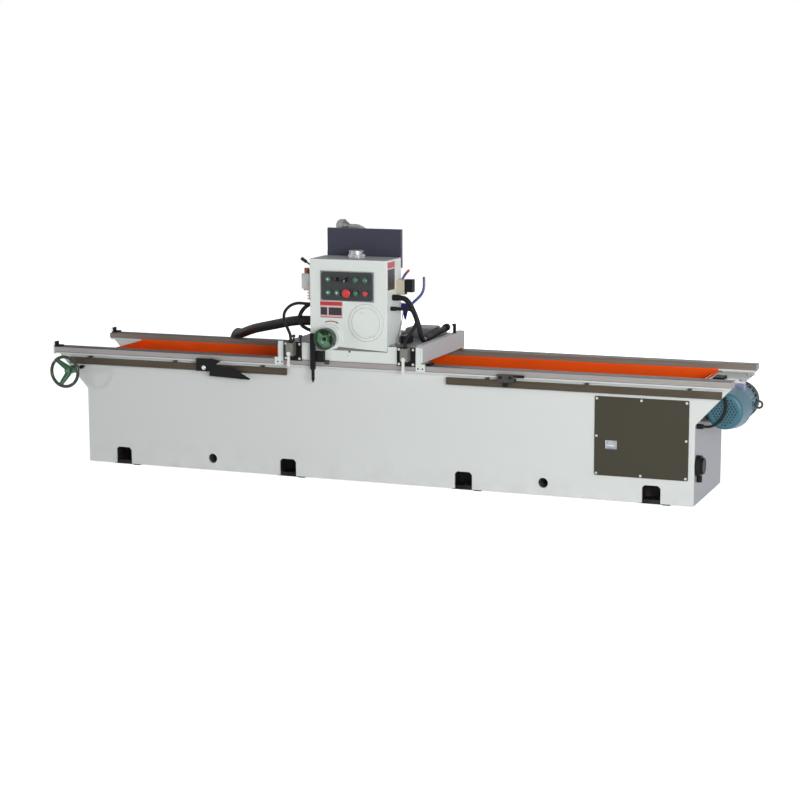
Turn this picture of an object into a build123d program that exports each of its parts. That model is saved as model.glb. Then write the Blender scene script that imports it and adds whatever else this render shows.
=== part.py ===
from build123d import *
import math
import os

os.makedirs("parts", exist_ok=True)

# Straight-knife grinder, in millimetres. X runs along the bed, Y to the rear, Z up.
# The floor is at zero and the bed is centred on X and Y.

# Bed
BED_HALF = 1500
WING_HALF = 1655
WALL_OUT = 274
WALL_IN = 264
WALL_BOTTOM = 5
WING_START = 365
SEAT_BOTTOM = 532
RAIL_BOTTOM = 540
RAIL_TOP = 565
RAIL_HALF = 1660
RAIL_OUT = 304
RAIL_IN = 234
FOOT_X = (-1310, -437, 437, 1310)
FOOT_HOLE_Y = 229
FOOT_HOLE_R = 9
POCKET_HALF = 42
POCKET_TOP = 85
FLARE = 12
LIFT_X = (-830, 815)
LIFT_Z = 61
LIFT_R = 23
END_PLATE_Z = (516, 522)
STOP_Y = ((-RAIL_OUT, -WALL_IN), (WALL_IN, RAIL_OUT))
RIB_X = (-750, 0, 750)
RIB_TOP = 236

# Trough and tilting table
PAN_X = (-1480, 1488)
PAN_Y = (-140, 232)
PAN_RIM = 533
SHEET = 4
TILT_Y = 45
TILT_Z = 405
WORM_X = -1562
WORM_Z = 457
TRUNNION_R = 20
RUNNING = 0.05

# Cabinet in the front wall
COVER_X = (1051, 1473)
COVER_Z = (116, 470)
BREAKER = (1126, 255)

# Travel drive
DRIVE_X = 1608
IDLER_X = -1420
CHAIN_Y = (-166, -154)
CHAIN_Z = 419
EYE_Z = 424
SPROCKET_TEETH = 20
CHAIN_PITCH_R = 50.74

# Carriage
BEAM_LEFT = (-466, -436)
BEAM_RIGHT = (222, 252)
DECK_TOP = 645
CARRIAGE_FRONT = -304
SWITCH_X = (-388, 178)
SWITCH_PIVOT_Z = 597

# Head box
COLUMN_X = (-300, 80)
COLUMN_Y = (-306, -124)
WAY_BACK = -117
COLUMN_TOP = 1036
COLUMN_WALL = 6
FEED_X = -195
FEED_Z = 678
SCREW = (-100, -224)
PANEL_FRONT = -310
DEVICE_X = (-203, -159, -115, -68, -21)
STOP_X = -109
ROW_Z = (945, 884)
STOP_PLACE = (2, 1)
LAMP_PLACES = ((0, 0), (0, 1), (1, 1))
SPINDLE = (-107, 45)
MOTOR_R = 105
GUARD_X = (-292, 75)
GUARD_Y = -114
GUARD_TOP = 1163

BASE = (Align.CENTER, Align.CENTER, Align.MIN)
FRONTWARD = (0, -1, 0)
REARWARD = (0, 1, 0)
RIGHTWARD = (1, 0, 0)
LEFTWARD = (-1, 0, 0)
UPWARD = (0, 0, 1)


def block(x, y, z):
    """A box between two limits on each axis."""
    middle = ((x[0] + x[1]) / 2, (y[0] + y[1]) / 2, (z[0] + z[1]) / 2)
    return Pos(*middle) * Box(x[1] - x[0], y[1] - y[0], z[1] - z[0])


def rod(start, along, length, radius):
    """A round bar from a point, in a direction."""
    return Plane(origin=start, z_dir=along) * Cylinder(radius, length, align=BASE)


def ring(start, along, length, outer, inner):
    """A round bar with a bore right through it."""
    return rod(start, along, length, outer) - rod(start, along, length, inner)


def slab(outline, y):
    """A plate cut to an outline in X and Z, between two depths."""
    face = make_face(Polyline(*[(px, y[0], pz) for px, pz in outline], close=True))
    return extrude(face, amount=y[1] - y[0], dir=REARWARD)


def mirror_y(span):
    """The same span on the other side of the bed's middle plane."""
    return (-span[1], -span[0])


def notched(disc, centre, along, radius, teeth, cut, length):
    """Cut evenly spaced round tooth gaps into the edge of a disc."""
    frame = Plane(origin=centre, z_dir=along)
    places = PolarLocations(radius, teeth)
    return disc - [frame * place * Cylinder(cut, length, align=BASE) for place in places]


def handwheel(centre, rim, thick, dish, hub, deep, first):
    """A three-spoke wheel on a Y axis. The hub lies behind the rim by the dish."""
    cx, cy, cz = centre
    wheel = Pos(cx, cy, cz) * Rot(90, 0, 0) * Torus(rim, thick)
    wheel += rod((cx, cy + dish - 14, cz), REARWARD, deep, hub)
    for turn in (0, 120, 240):
        angle = math.radians(first + turn)
        out = Vector(math.cos(angle), 0, math.sin(angle))
        inner = Vector(cx, cy + dish, cz) + out * (hub * 0.6)
        outer = Vector(cx, cy, cz) + out * rim
        spoke = Cone(thick * 1.9, thick * 1.2, (outer - inner).length, align=BASE)
        wheel += Plane(origin=inner, z_dir=outer - inner) * spoke
    return wheel


def cord(name, points, radius):
    """A cable of straight runs joined by tangent arcs, as wide as the runs allow."""
    corners = [Vector(*p) for p in points]
    radii = []
    for before, corner, after in zip(corners, corners[1:], corners[2:]):
        turn = math.radians((corner - before).get_angle(after - corner))
        reach = 0.45 * min((corner - before).length, (after - corner).length)
        radii.append(reach / math.tan(turn / 2))
    path = FilletPolyline(*points, radius=radii)
    section = Plane(origin=points[0], z_dir=corners[1] - corners[0]) * Circle(radius)
    body = sweep(section, path=path)
    share = body.volume / (math.pi * radius**2 * path.length)
    print(name, "length", round(path.length), "volume share", round(share, 4))
    print("  radii", [round(r) for r in radii])
    return body


def bead_row(points, count, big, small):
    """A segmented hose: tapered beads along a curve, each just clear of the next."""
    path = Spline(*points)
    step = path.length / count
    beads = []
    for i in range(count):
        start = path @ (i / count)
        aim = (path @ ((i + 1) / count)) - start
        taper = Cone(big, small, step - 0.8, align=BASE)
        beads.append(Plane(origin=start, z_dir=aim) * taper)
    return beads


def save(name, *pieces):
    """Write one node as a group of separate solids."""
    solids = [solid for piece in pieces for solid in piece.solids()]
    export_step(Compound(solids) if len(solids) > 1 else solids[0], f"parts/{name}.step")


# Bed: welded plate. The skirt under the wall plates is cut into strips by the foot pockets,
# and the plates round the lifting holes are set in as four quarters.
def skirt_strip(x, flare_left, flare_right):
    """A strip of skirt whose top corners lean out over the pockets beside it."""
    lean_left = FLARE if flare_left else 0
    lean_right = FLARE if flare_right else 0
    outline = [(x[0], WALL_BOTTOM), (x[1], WALL_BOTTOM)]
    if flare_right:
        outline.append((x[1], POCKET_TOP - FLARE))
    outline += [(x[1] + lean_right, POCKET_TOP), (x[0] - lean_left, POCKET_TOP)]
    if flare_left:
        outline.append((x[0], POCKET_TOP - FLARE))
    return slab(outline, front_y)


front_y = (-WALL_OUT, -WALL_IN)
pocket_edges = [x + half for x in FOOT_X for half in (-POCKET_HALF, POCKET_HALF)]
strip_ends = [-BED_HALF, *pocket_edges, BED_HALF]
skirt = []
for left, right in zip(strip_ends[::2], strip_ends[1::2]):
    flares = (left > -BED_HALF, right < BED_HALF)
    holes = [x for x in LIFT_X if left < x < right]
    if not holes:
        skirt.append(skirt_strip((left, right), *flares))
        continue
    x = holes[0]
    skirt.append(skirt_strip((left, x - 40), flares[0], False))
    skirt.append(skirt_strip((x + 40, right), False, flares[1]))
    for side_x in ((x - 40, x), (x, x + 40)):
        for side_z in ((WALL_BOTTOM, LIFT_Z), (LIFT_Z, POCKET_TOP)):
            skirt.append(block(side_x, front_y, side_z) - rod((x, -280, LIFT_Z), REARWARD, 22, LIFT_R))
front_wall = block((-BED_HALF, BED_HALF), front_y, (POCKET_TOP, SEAT_BOTTOM))
rear_wall = mirror(front_wall, about=Plane.XZ)
cut_x = (COVER_X[0] + 15, COVER_X[1] - 15)
front_wall -= block(cut_x, (-280, -258), (COVER_Z[0] + 15, COVER_Z[1] - 15))

bed = [front_wall, rear_wall, *skirt]
bed += [mirror(strip, about=Plane.XZ) for strip in skirt]
for side in (-1, 1):
    corner = [(side * BED_HALF, WING_START), (side * BED_HALF, SEAT_BOTTOM)]
    wing = slab([*corner, (side * WING_HALF, SEAT_BOTTOM)], front_y)
    bed.append(mirror(wing, about=Plane.XZ))
    if side < 0:
        wing -= rod((WORM_X, -280, WORM_Z), REARWARD, 22, 10 + RUNNING)
        wing -= rod((-1517, -280, 471), REARWARD, 22, 4 + RUNNING)
    bed.append(wing)
end_y = (-WALL_IN, WALL_IN)
left_end = block((-BED_HALF, -BED_HALF + 10), end_y, (WALL_BOTTOM, 526))
left_end -= rod((-BED_HALF - 5, TILT_Y, TILT_Z), RIGHTWARD, 30, 35)
right_end = block((BED_HALF - 10, BED_HALF), end_y, (WALL_BOTTOM, 526))
right_end -= block((1480, 1510), (-185, -135), (355, 485))
bed += [left_end, right_end]
for y in ((-RAIL_OUT, -RAIL_IN), (RAIL_IN, RAIL_OUT)):
    bed.append(block((-WING_HALF, WING_HALF), y, (SEAT_BOTTOM, RAIL_BOTTOM)))
for x in RIB_X:
    bed.append(block((x - 5, x + 5), end_y, (WALL_BOTTOM, RIB_TOP)))
for x in LIFT_X:
    tube = ring((x, -WALL_IN, LIFT_Z), REARWARD, 2 * WALL_IN, LIFT_R + 4, LIFT_R)
    for side_x in ((x - 40, x), (x, x + 40)):
        for side_z in ((LIFT_Z - 40, LIFT_Z), (LIFT_Z, LIFT_Z + 40)):
            bed.append(tube & block(side_x, end_y, side_z))
bed.append(block((BED_HALF, 1648), (10, WALL_IN), END_PLATE_Z))
for y in STOP_Y:
    bed.append(block((-1668, -RAIL_HALF), y, (530, RAIL_TOP)))
bed.append(block((10 - BED_HALF, BED_HALF - 10), (-WALL_IN, -190), (522, 528)))
bed.append(rod((IDLER_X, -WALL_IN, CHAIN_Z), REARWARD, 116, 12))
bed.append(block((-1090, -990), (WALL_OUT, 440), (350, 409)))
save("bed_frame", *bed)

feet = []
for x in FOOT_X:
    for side in (-1, 1):
        plate_y = (-262, -167)
        hood_y = (-264, -180)
        back_y = (-184, -180)
        lip_y = (-WALL_OUT, -262)
        if side > 0:
            plate_y, hood_y = mirror_y(plate_y), mirror_y(hood_y)
            back_y, lip_y = mirror_y(back_y), mirror_y(lip_y)
        sole = block((x - 60, x + 85), plate_y, (0, 18)) + block((x + 50, x + 85), lip_y, (0, 5))
        feet.append(sole - rod((x, side * FOOT_HOLE_Y, -1), UPWARD, 30, FOOT_HOLE_R))
        for cheek in ((x - 50, x - 44), (x + 44, x + 50)):
            feet.append(block(cheek, hood_y, (18, 92)))
        feet.append(block((x - 50, x + 50), hood_y, (92, 98)))
        feet.append(block((x - 44, x + 44), back_y, (18, 92)))
save("machine_feet", *feet)

for name, y in (("front_rail", (-RAIL_OUT, -RAIL_IN)), ("rear_rail", (RAIL_IN, RAIL_OUT))):
    rail = block((-RAIL_HALF, RAIL_HALF), y, (RAIL_BOTTOM, RAIL_TOP))
    save(name, chamfer(rail.edges().filter_by(Axis.X).group_by(Axis.Z)[-1], 1.5))

# Trough: five sheets, the left end holed for the table's trunnion.
pan_wall = (RIB_TOP + SHEET, PAN_RIM)
pan_inner = (PAN_Y[0] + SHEET, PAN_Y[1] - SHEET)
pan_left = block((PAN_X[0], PAN_X[0] + SHEET), pan_inner, pan_wall)
pan = [
    block(PAN_X, PAN_Y, (RIB_TOP, RIB_TOP + SHEET)),
    block(PAN_X, (PAN_Y[0], pan_inner[0]), pan_wall),
    block(PAN_X, (pan_inner[1], PAN_Y[1]), pan_wall),
    pan_left - rod((PAN_X[0] - 5, TILT_Y, TILT_Z), RIGHTWARD, 20, 30),
    block((PAN_X[1] - SHEET, PAN_X[1]), pan_inner, pan_wall),
]
save("trough_pan", *pan)

buffers = []
for y in STOP_Y:
    post = block((-1668, -RAIL_HALF), y, (RAIL_TOP, 588))
    buffers.append(post + block((-RAIL_HALF, -1632), y, (RAIL_TOP, 572)))
vent_z = (END_PLATE_Z[1], END_PLATE_Z[1] + 11)
save("stop_buffers", *buffers, block((1510, 1556), (20, 100), vent_z))

bars = []
for x, clips in (((-1583, -429), (-1475, -1015, -555)), ((362, 1616), (555, 1015, 1475))):
    bar = block(x, (-296, -284), (486, 518))
    for clip in clips:
        bar += rod((clip, -WALL_OUT, 502), FRONTWARD, 12, 7)
        bar += block((clip - 8, clip + 8), (-290, -WALL_OUT), (518, 525))
    bars.append(bar)
save("trip_bars", *bars)

# Cabinet: cover with a breaker window, gear plate on four posts behind it.
cover = block(COVER_X, (-278, -WALL_OUT), COVER_Z)
cover = fillet(cover.edges().filter_by(Axis.Y), 6)
window = block((BREAKER[0] - 27, BREAKER[0] + 27), (-280, -270), (BREAKER[1] - 20, BREAKER[1] + 20))
save("cabinet_cover", cover - window)
screw_x = (COVER_X[0] + 10, sum(COVER_X) / 2, COVER_X[1] - 10)
screw_z = (COVER_Z[0] + 10, sum(COVER_Z) / 2, COVER_Z[1] - 10)
screws = []
for i, x in enumerate(screw_x):
    for j, z in enumerate(screw_z):
        if (i, j) != (1, 1):
            head = rod((x, -278, z), FRONTWARD, 4, 5.5)
            screws.append(head - block((x - 4, x + 4), (-283, -280.5), (z - 1, z + 1)))
save("cover_screws", *screws)

bx, bz = BREAKER
gear = [block((1048, 1476), (-204, -200), (113, 473))]
for x in (1057, 1467):
    for z in (122, 464):
        gear.append(rod((x, -WALL_IN, z), REARWARD, 60, 5))
breaker = block((bx - 26, bx + 26), (-275, -204), (bz - 45, bz + 45))
breaker -= block((bx - 27, bx + 27), (-280, -268), (bz + 19, bz + 50))
breaker -= block((bx - 27, bx + 27), (-280, -268), (bz - 50, bz - 19))
gear.append(breaker - block((bx - 22, bx + 22), (-280, -252), (bz - 15, bz + 15)))
for x in (1215, 1275, 1335, 1395):
    gear.append(block((x - 24, x + 24), (-258, -204), (330, 410)))
    gear.append(block((x - 22, x + 22), (-246, -204), (250, 310)))
gear.append(block((1090, 1440), (-226, -204), (145, 185)))
save("control_gear", *gear)
toggle = rod((bx - 20, -263, bz), RIGHTWARD, 40, 6)
save("breaker_toggle", toggle + block((bx - 18, bx + 18), (-287, -263), (bz - 3, bz + 3)))

entries = [
    rod((BED_HALF, -229, 179), RIGHTWARD, 22, 46) + rod((BED_HALF + 22, -229, 179), RIGHTWARD, 12, 36),
    rod((BED_HALF + 13, -229, 133), (0, 0, -1), 26, 12),
    rod((BED_HALF, -240, 355), RIGHTWARD, 28, 11),
    rod((-1040, 388, 409), UPWARD, 16, 28),
]
save("cable_entries", *entries)

# Tilt drive: worm and wheel in a box on the left end wall.
box = block((-1602, -BED_HALF), (-15, 105), (350, 485))
box -= block((-1594, -1508), (-7, 97), (358, 477))
box -= rod((WORM_X, -20, WORM_Z), REARWARD, 130, 10 + RUNNING)
box -= rod((-1510, TILT_Y, TILT_Z), RIGHTWARD, 20, TRUNNION_R + RUNNING)
save("tilt_gearbox", box)

bearings = []
for x in ((-1440, -1400), (1400, 1440)):
    stand = block(x, (TILT_Y - 50, TILT_Y + 50), (RIB_TOP + SHEET, TILT_Z + 38))
    bearings.append(stand - rod((x[0] - 5, TILT_Y, TILT_Z), RIGHTWARD, 60, TRUNNION_R + RUNNING))
save("table_bearings", *bearings)

beam = block((-1250, 1250), (TILT_Y - 50, TILT_Y + 50), (345, 422))
beam += rod((-1584, TILT_Y, TILT_Z), RIGHTWARD, 340, TRUNNION_R)
beam += rod((1245, TILT_Y, TILT_Z), RIGHTWARD, 200, TRUNNION_R)
save("chuck_beam", beam)
chuck = block((-1240, 1240), (TILT_Y - 60, TILT_Y + 60), (422, 462))
for y in (TILT_Y - 62, TILT_Y + 56):
    chuck -= block((-1250, 1250), (y, y + 6), (436, 444))
save("magnetic_chuck", chuck)
wheel = ring((-1578, TILT_Y, TILT_Z), RIGHTWARD, 32, 39.5, TRUNNION_R)
save("worm_wheel", notched(wheel, (-1579, TILT_Y, TILT_Z), RIGHTWARD, 39.5, 40, 2, 40))
worm = rod((WORM_X, -288, WORM_Z), REARWARD, 393, 10) + rod((WORM_X, 8, WORM_Z), REARWARD, 74, 12)
for i in range(9):
    worm -= ring((WORM_X, 14 + 7 * i, WORM_Z), REARWARD, 3, 13, 10)
save("worm_shaft", worm)
save("tilt_handwheel", handwheel((WORM_X, -382, WORM_Z), 72, 8, 44, 20, 64, 8))
knob = rod((-1517, -306, 471), REARWARD, 16, 9) + rod((-1517, -292, 471), REARWARD, 32, 4)
save("tilt_lock_knob", knob)

# Travel drive: motor with gear head at the right end, chain to an idler at the left.
motor = rod((DRIVE_X, -74, CHAIN_Z), REARWARD, 184, 81)
for i in range(24):
    fin = Rot(0, i * 15, 0) * block((78, 87), (-60, 102), (-2, 2))
    motor += Pos(DRIVE_X, 0, CHAIN_Z) * fin
motor += rod((DRIVE_X, -74, CHAIN_Z), REARWARD, 22, 94)
motor += rod((DRIVE_X, 100, CHAIN_Z), REARWARD, 50, 86)
motor += rod((DRIVE_X, -130, CHAIN_Z), REARWARD, 60, 60)
motor += block((BED_HALF, 1530), (-50, 90), (344, 494)) + block((1515, 1560), (-40, 80), (369, 469))
motor += block((1616, 1660), (-45, 8), (470, 522))
motor += rod((DRIVE_X, 10, EYE_Z), RIGHTWARD, 92, 12)
motor -= rod((DRIVE_X, -135, CHAIN_Z), REARWARD, 40, 12 + RUNNING)
eye = Pos(DRIVE_X + 111, 10, EYE_Z) * Rot(90, 0, 0) * Torus(15, 5)
eye -= block((DRIVE_X, DRIVE_X + 92), (-10, 30), (EYE_Z - 20, EYE_Z + 20))
face_disc = rod((DRIVE_X, -196, CHAIN_Z), REARWARD, 20, 82)
chain_guard = [fillet(face_disc.edges().group_by(Axis.Y)[0], 18)]
bell = Cone(96, 82, 102, align=BASE) - Cone(92, 78, 102, align=BASE)
bell = Plane(origin=(DRIVE_X, -74, CHAIN_Z), z_dir=FRONTWARD) * bell
for first in (-130, -65, 0, 65):
    ends = [math.radians(first), math.radians(first + 65)]
    fan = [(DRIVE_X + 200 * math.cos(a), CHAIN_Z + 200 * math.sin(a)) for a in ends]
    chain_guard.append(bell & slab([(DRIVE_X, CHAIN_Z), *fan], (-180, -70)))
lead_box = block((BED_HALF, 1538), (-122, -60), (488, 522))
save("travel_motor", motor, eye, *chain_guard, lead_box)

motor_route = [
    (1528, -240, 355),
    (1548, -240, 355),
    (1568, -238, 360),
    (1588, -233, 372),
    (1605, -227, 392),
    (1616, -221, 418),
    (1621, -217, 446),
    (1616, -214, 472),
    (1603, -211, 493),
    (1583, -207, 506),
    (1560, -200, 511),
    (1539, -187, 509),
    (1526, -167, 506),
    (1519, -143, 505),
    (1519, -122, 505),
]
save("motor_cable", cord("motor_cable", motor_route, 6))

chain = []
for end, side in ((IDLER_X, -1), (DRIVE_X, 1)):
    arc = ring((end, CHAIN_Y[0], CHAIN_Z), REARWARD, 12, CHAIN_PITCH_R + 4.5, CHAIN_PITCH_R - 4)
    spare = (end - 60, end) if side > 0 else (end, end + 60)
    chain.append(arc - block(spare, (-170, -150), (CHAIN_Z - 60, CHAIN_Z + 60)))
    inner, outer = CHAIN_Z + side * (CHAIN_PITCH_R - 4), CHAIN_Z + side * (CHAIN_PITCH_R + 4.5)
    chain.append(block((IDLER_X, DRIVE_X), CHAIN_Y, (min(inner, outer), max(inner, outer))))
save("travel_chain", *chain)

for name, x in (("drive_sprocket", DRIVE_X), ("idler_sprocket", IDLER_X)):
    disc = rod((x, CHAIN_Y[0] + 1, CHAIN_Z), REARWARD, 10, CHAIN_PITCH_R - 4.4)
    disc = notched(disc, (x, CHAIN_Y[0], CHAIN_Z), REARWARD, CHAIN_PITCH_R, SPROCKET_TEETH, 5.6, 14)
    if x > 0:
        disc += rod((x, CHAIN_Y[0] - 6, CHAIN_Z), REARWARD, 30, 24)
        disc += rod((x, -150, CHAIN_Z), REARWARD, 52, 12)
    else:
        disc += rod((x, CHAIN_Y[0] - 6, CHAIN_Z), REARWARD, 24, 24)
        disc -= rod((x, CHAIN_Y[0] - 10, CHAIN_Z), REARWARD, 40, 12 + RUNNING)
    save(name, disc)

# Dogs: each hangs on its trip bar. They stay behind the plane of the switch rollers.
left_x = (-882, -806)
left_back = [block(left_x, (-314, -296.5), (488, 531)), block(left_x, (-296.5, -280), (518.5, 531))]
cam = [(-813, 467), (-607, 459), (-606, 463), (-700, 513)]
cam += [(-796, 515), (-757, 539), (-806, 550), (-813, 550)]
left_front = slab(cam, (-324, -314)) + block(left_x, (-324, -314), (488, 548))
save("left_dog", left_front, *left_back)
right_x = (612, 690)
right_front = block(right_x, (-324, -314), (513, 550))
right_front += block((684, 738), (-324, -316), (537, 549))
right_front += block((640, 662), (-324, -314), (493, 520))
right_back = [block(right_x, (-314, -296.5), (513, 531)), block(right_x, (-296.5, -280), (518.5, 531))]
save("right_dog", right_front, *right_back)

# Carriage: two side beams on pads, tied by beams and deck strips round the wheel head.
right_beam = block(BEAM_RIGHT, (-305, 264), (578, 658))
nose = right_beam.edges().filter_by(Axis.X).group_by(Axis.Y)[0].sort_by(Axis.Z)[-1]
carriage = [
    block(BEAM_LEFT, (-305, 264), (578, 633)),
    chamfer(nose, 14),
    block((-436, 222), (CARRIAGE_FRONT, -284), (570, 618)),
    block((-436, -302), (CARRIAGE_FRONT, -284), (618, DECK_TOP)),
    block((82, 222), (CARRIAGE_FRONT, -284), (618, DECK_TOP)),
    block((-436, 222), (234, 264), (578, DECK_TOP)),
    block((-436, 222), (-284, -120), (633, DECK_TOP)),
    block((-436, 222), (215, 234), (633, DECK_TOP)),
    block((-436, -247), (-120, 215), (633, DECK_TOP)),
    block((33, 222), (-120, 215), (633, DECK_TOP)),
    block((-127, -87), (-175, -168), (450, 633)),
    block((-127, -87), (-152, -145), (450, 633)),
    block((-127, -87), (-168, -152), (482, 633)),
]
for foot, upright in (((-479, -436), (-460, -436)), ((222, 266), (222, 246))):
    carriage.append(block(foot, (-313, -305), (540, 573)))
    carriage.append(block(upright, (-313, -305), (573, 649)))
deck_cover = block((36, 158), (40, 182), (DECK_TOP, 689))
carriage.append(chamfer(deck_cover.edges().group_by(Axis.Z)[-1], 5))
save("carriage_frame", *carriage)
pads = []
for x in ((-464, -438), (224, 250)):
    for y in ((-300, -238), (238, 262)):
        pads.append(block(x, y, (RAIL_TOP + 0.3, 578)))
save("slide_pads", *pads)

# Head box: a sheet shell, open at the foot, with ways for the wheel head on its back.
inner_x = (COLUMN_X[0] + COLUMN_WALL, COLUMN_X[1] - COLUMN_WALL)
inner_y = (COLUMN_Y[0] + COLUMN_WALL, COLUMN_Y[1] - COLUMN_WALL)
shell = block(COLUMN_X, COLUMN_Y, (DECK_TOP, COLUMN_TOP))
shell = fillet(shell.edges().group_by(Axis.Z)[-1] + shell.edges().filter_by(Axis.Z), 4)
shell += block(COLUMN_X, (COLUMN_Y[0], -298), (622, DECK_TOP + 20))
shell -= block(inner_x, inner_y, (DECK_TOP - 1, COLUMN_TOP - COLUMN_WALL))
shell -= block((-130, -70), (COLUMN_Y[1] - 8, COLUMN_Y[1] + 4), (750, 910))
shell -= rod((SCREW[0], SCREW[1], 1020), UPWARD, 30, 12 + RUNNING)
shell += rod((FEED_X, -306, FEED_Z), FRONTWARD, 8, 58)
shell += rod((FEED_X, -314, FEED_Z), FRONTWARD, 6, 48)
shell -= rod((FEED_X, -330, FEED_Z), REARWARD, 190, 10 + RUNNING)
for i, x in enumerate(DEVICE_X):
    for j, z in enumerate(ROW_Z):
        if (i, j) not in LAMP_PLACES:
            shell -= rod((STOP_X if (i, j) == STOP_PLACE else x, -312, z), REARWARD, 20, 4.4)
for x in ((-190, -165), (-50, -25)):
    shell += block(x, (COLUMN_Y[1], WAY_BACK), (655, 1030))
screw_foot = ring((SCREW[0], SCREW[1], DECK_TOP), UPWARD, 8, 22, 12 + RUNNING)
save("column", shell, screw_foot)

round_plate = rod((-20, -306, 750), FRONTWARD, 4, 86) + rod((-20, -310, 750), FRONTWARD, 3, 70)
save("round_cover", round_plate)

panel = block((-245, 18), (PANEL_FRONT, -306), (845, 983))
for i, x in enumerate(DEVICE_X):
    for j, z in enumerate(ROW_Z):
        if (i, j) == STOP_PLACE:
            x = STOP_X
        if (i, j) in LAMP_PLACES:
            panel += rod((x, PANEL_FRONT, z), FRONTWARD, 5, 15) + rod((x, -315, z), FRONTWARD, 6, 10.5)
        else:
            panel += rod((x, PANEL_FRONT, z), FRONTWARD, 6, 15)
            panel -= rod((x, PANEL_FRONT, z), FRONTWARD, 10, 11.4)
            panel -= rod((x, -312, z), REARWARD, 20, 4.4)
save("control_panel", panel)


def stem(x, z):
    """The shank that carries a panel device through the panel."""
    return rod((x, -320, z), REARWARD, 22, 4)


buttons = (("button_start", 3, 0), ("button_jog", 4, 0), ("button_feed", 3, 1), ("button_stop", 4, 1))
for name, i, j in buttons:
    cap = rod((DEVICE_X[i], -322, ROW_Z[j]), REARWARD, 7, 11)
    cap = fillet(cap.edges().group_by(Axis.Y)[0], 1.5)
    save(name, cap + stem(DEVICE_X[i], ROW_Z[j]))
for name, i, lean in (("selector_left", 1, -30), ("selector_right", 2, 30)):
    x, z = DEVICE_X[i], ROW_Z[0]
    grip = Pos(x, 0, z) * Rot(0, lean, 0) * block((-4, 4), (-333, -318), (-10.5, 10.5))
    save(name, rod((x, -320, z), REARWARD, 9, 11) + grip + stem(x, z))
z = ROW_Z[1]
mushroom = rod((STOP_X, -337, z), REARWARD, 14, 20)
mushroom = fillet(mushroom.edges().group_by(Axis.Y)[0], 5)
save("emergency_stop", mushroom + rod((STOP_X, -323, z), REARWARD, 6, 11) + stem(STOP_X, z))

# Limit switches on black plates, each with a roller lever in front of the dogs.
plates = [block((x - 44, x + 44), (-310, CARRIAGE_FRONT), (560, 647)) for x in (-388, 174)]
plates.append(block((-268, -226), (-326, CARRIAGE_FRONT), (562, 612)))
plates.append(rod((-276, -306, FEED_Z), FRONTWARD, 36, 6))
save("switch_plates", *plates)
switches = []
for x in SWITCH_X:
    body = block((x - 18, x + 18), (-350, -310), (585, DECK_TOP))
    body = fillet(body.edges().filter_by(Axis.Y), 5)
    switches.append(body - rod((x, -360, SWITCH_PIVOT_Z), REARWARD, 24, 4 + RUNNING))
save("limit_switches", *switches)
for name, x in (("left_switch_lever", SWITCH_X[0]), ("right_switch_lever", SWITCH_X[1])):
    lever = rod((x, -359, SWITCH_PIVOT_Z), REARWARD, 8, 10)
    lever += block((x - 6, x + 6), (-359, -352), (545, SWITCH_PIVOT_Z))
    lever += rod((x, -359, SWITCH_PIVOT_Z), REARWARD, 22, 4)
    save(name, lever + rod((x, -359, 545), REARWARD, 23, 9))

trip = [(-288, 695), (-264, 695), (-264, 530), (-270, 522), (-270, 480), (-276, 466)]
trip += [(-282, 480), (-282, 522), (-288, 530)]
trip_lever = slab(trip, (-338, -328))
save("feed_trip_lever", trip_lever - rod((-276, -345, FEED_Z), REARWARD, 30, 6 + RUNNING))

# Feed: handwheel shaft with a worm, a worm wheel on the vertical screw, a cap on top.
hand = fillet(rod((FEED_X, -396, FEED_Z), REARWARD, 38, 50).edges(), 3)
hand -= rod((FEED_X, -400, FEED_Z), REARWARD, 36, 44)
for turn in (100, 220, 340):
    angle = math.radians(turn)
    hand -= rod((FEED_X + 28 * math.cos(angle), -370, FEED_Z + 28 * math.sin(angle)), REARWARD, 20, 9)
hand += rod((FEED_X, -384, FEED_Z), REARWARD, 40, 15)
hand += rod((FEED_X, -346, FEED_Z), REARWARD, 201, 10)
hand += rod((FEED_X, -262, FEED_Z), REARWARD, 76, 24.5)
for i in range(7):
    hand -= ring((FEED_X, -258 + 10 * i, FEED_Z), REARWARD, 4, 26, 20)
save("feed_handwheel", hand)
screw = rod((*SCREW, DECK_TOP + 1), UPWARD, 392, 12)
toothed = rod((*SCREW, FEED_Z - 13), UPWARD, 26, 70)
screw += notched(toothed, (*SCREW, FEED_Z - 14), UPWARD, 70, 40, 3, 30)
dial = rod((*SCREW, COLUMN_TOP + 1), UPWARD, 18, 39)
screw += notched(dial, (*SCREW, COLUMN_TOP), UPWARD, 39, 36, 1.6, 30) + rod((*SCREW, 1050), UPWARD, 22, 35)
save("feed_screw", screw)

# Wheel head: slide on the column's ways, vertical motor, spindle with a cup wheel.
sx, sy = SPINDLE
head = block((-170, -44), (-105, -45), (720, 940)) - rod((sx, sy, 700), UPWARD, 300, MOTOR_R + 0.2)
head += block((-190, -25), (WAY_BACK + 1, -100), (660, 960))
head += block((-115, -85), (-210, -110), (800, 830)) + block((-128, -72), (-252, -196), (790, 840))
head += rod((sx, sy, 640), UPWARD, 60, MOTOR_R) + rod((sx, sy, 562), UPWARD, 80, 60)
head += block((-170, -44), (-110, 0), (660, 700))
head -= rod((sx, sy, 550), UPWARD, 200, 25 + RUNNING)
head -= rod((*SCREW, 780), UPWARD, 70, 12.1)
save("head_slide", head)
motor = rod((sx, sy, 700), UPWARD, 14, MOTOR_R) + rod((sx, sy, 714), UPWARD, 216, MOTOR_R - 11)
for i in range(28):
    fin = Rot(0, 0, i * 360 / 28) * block((MOTOR_R - 15, MOTOR_R - 1), (-2, 2), (720, 924))
    motor += Pos(sx, sy, 0) * fin
motor += fillet(rod((sx, sy, 924), UPWARD, 61, MOTOR_R).edges().group_by(Axis.Z)[-1], 8)
motor += rod((sx, sy, 985), UPWARD, 8, 70)
motor += block((-152, -62), (110, 196), (760, 850))
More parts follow.
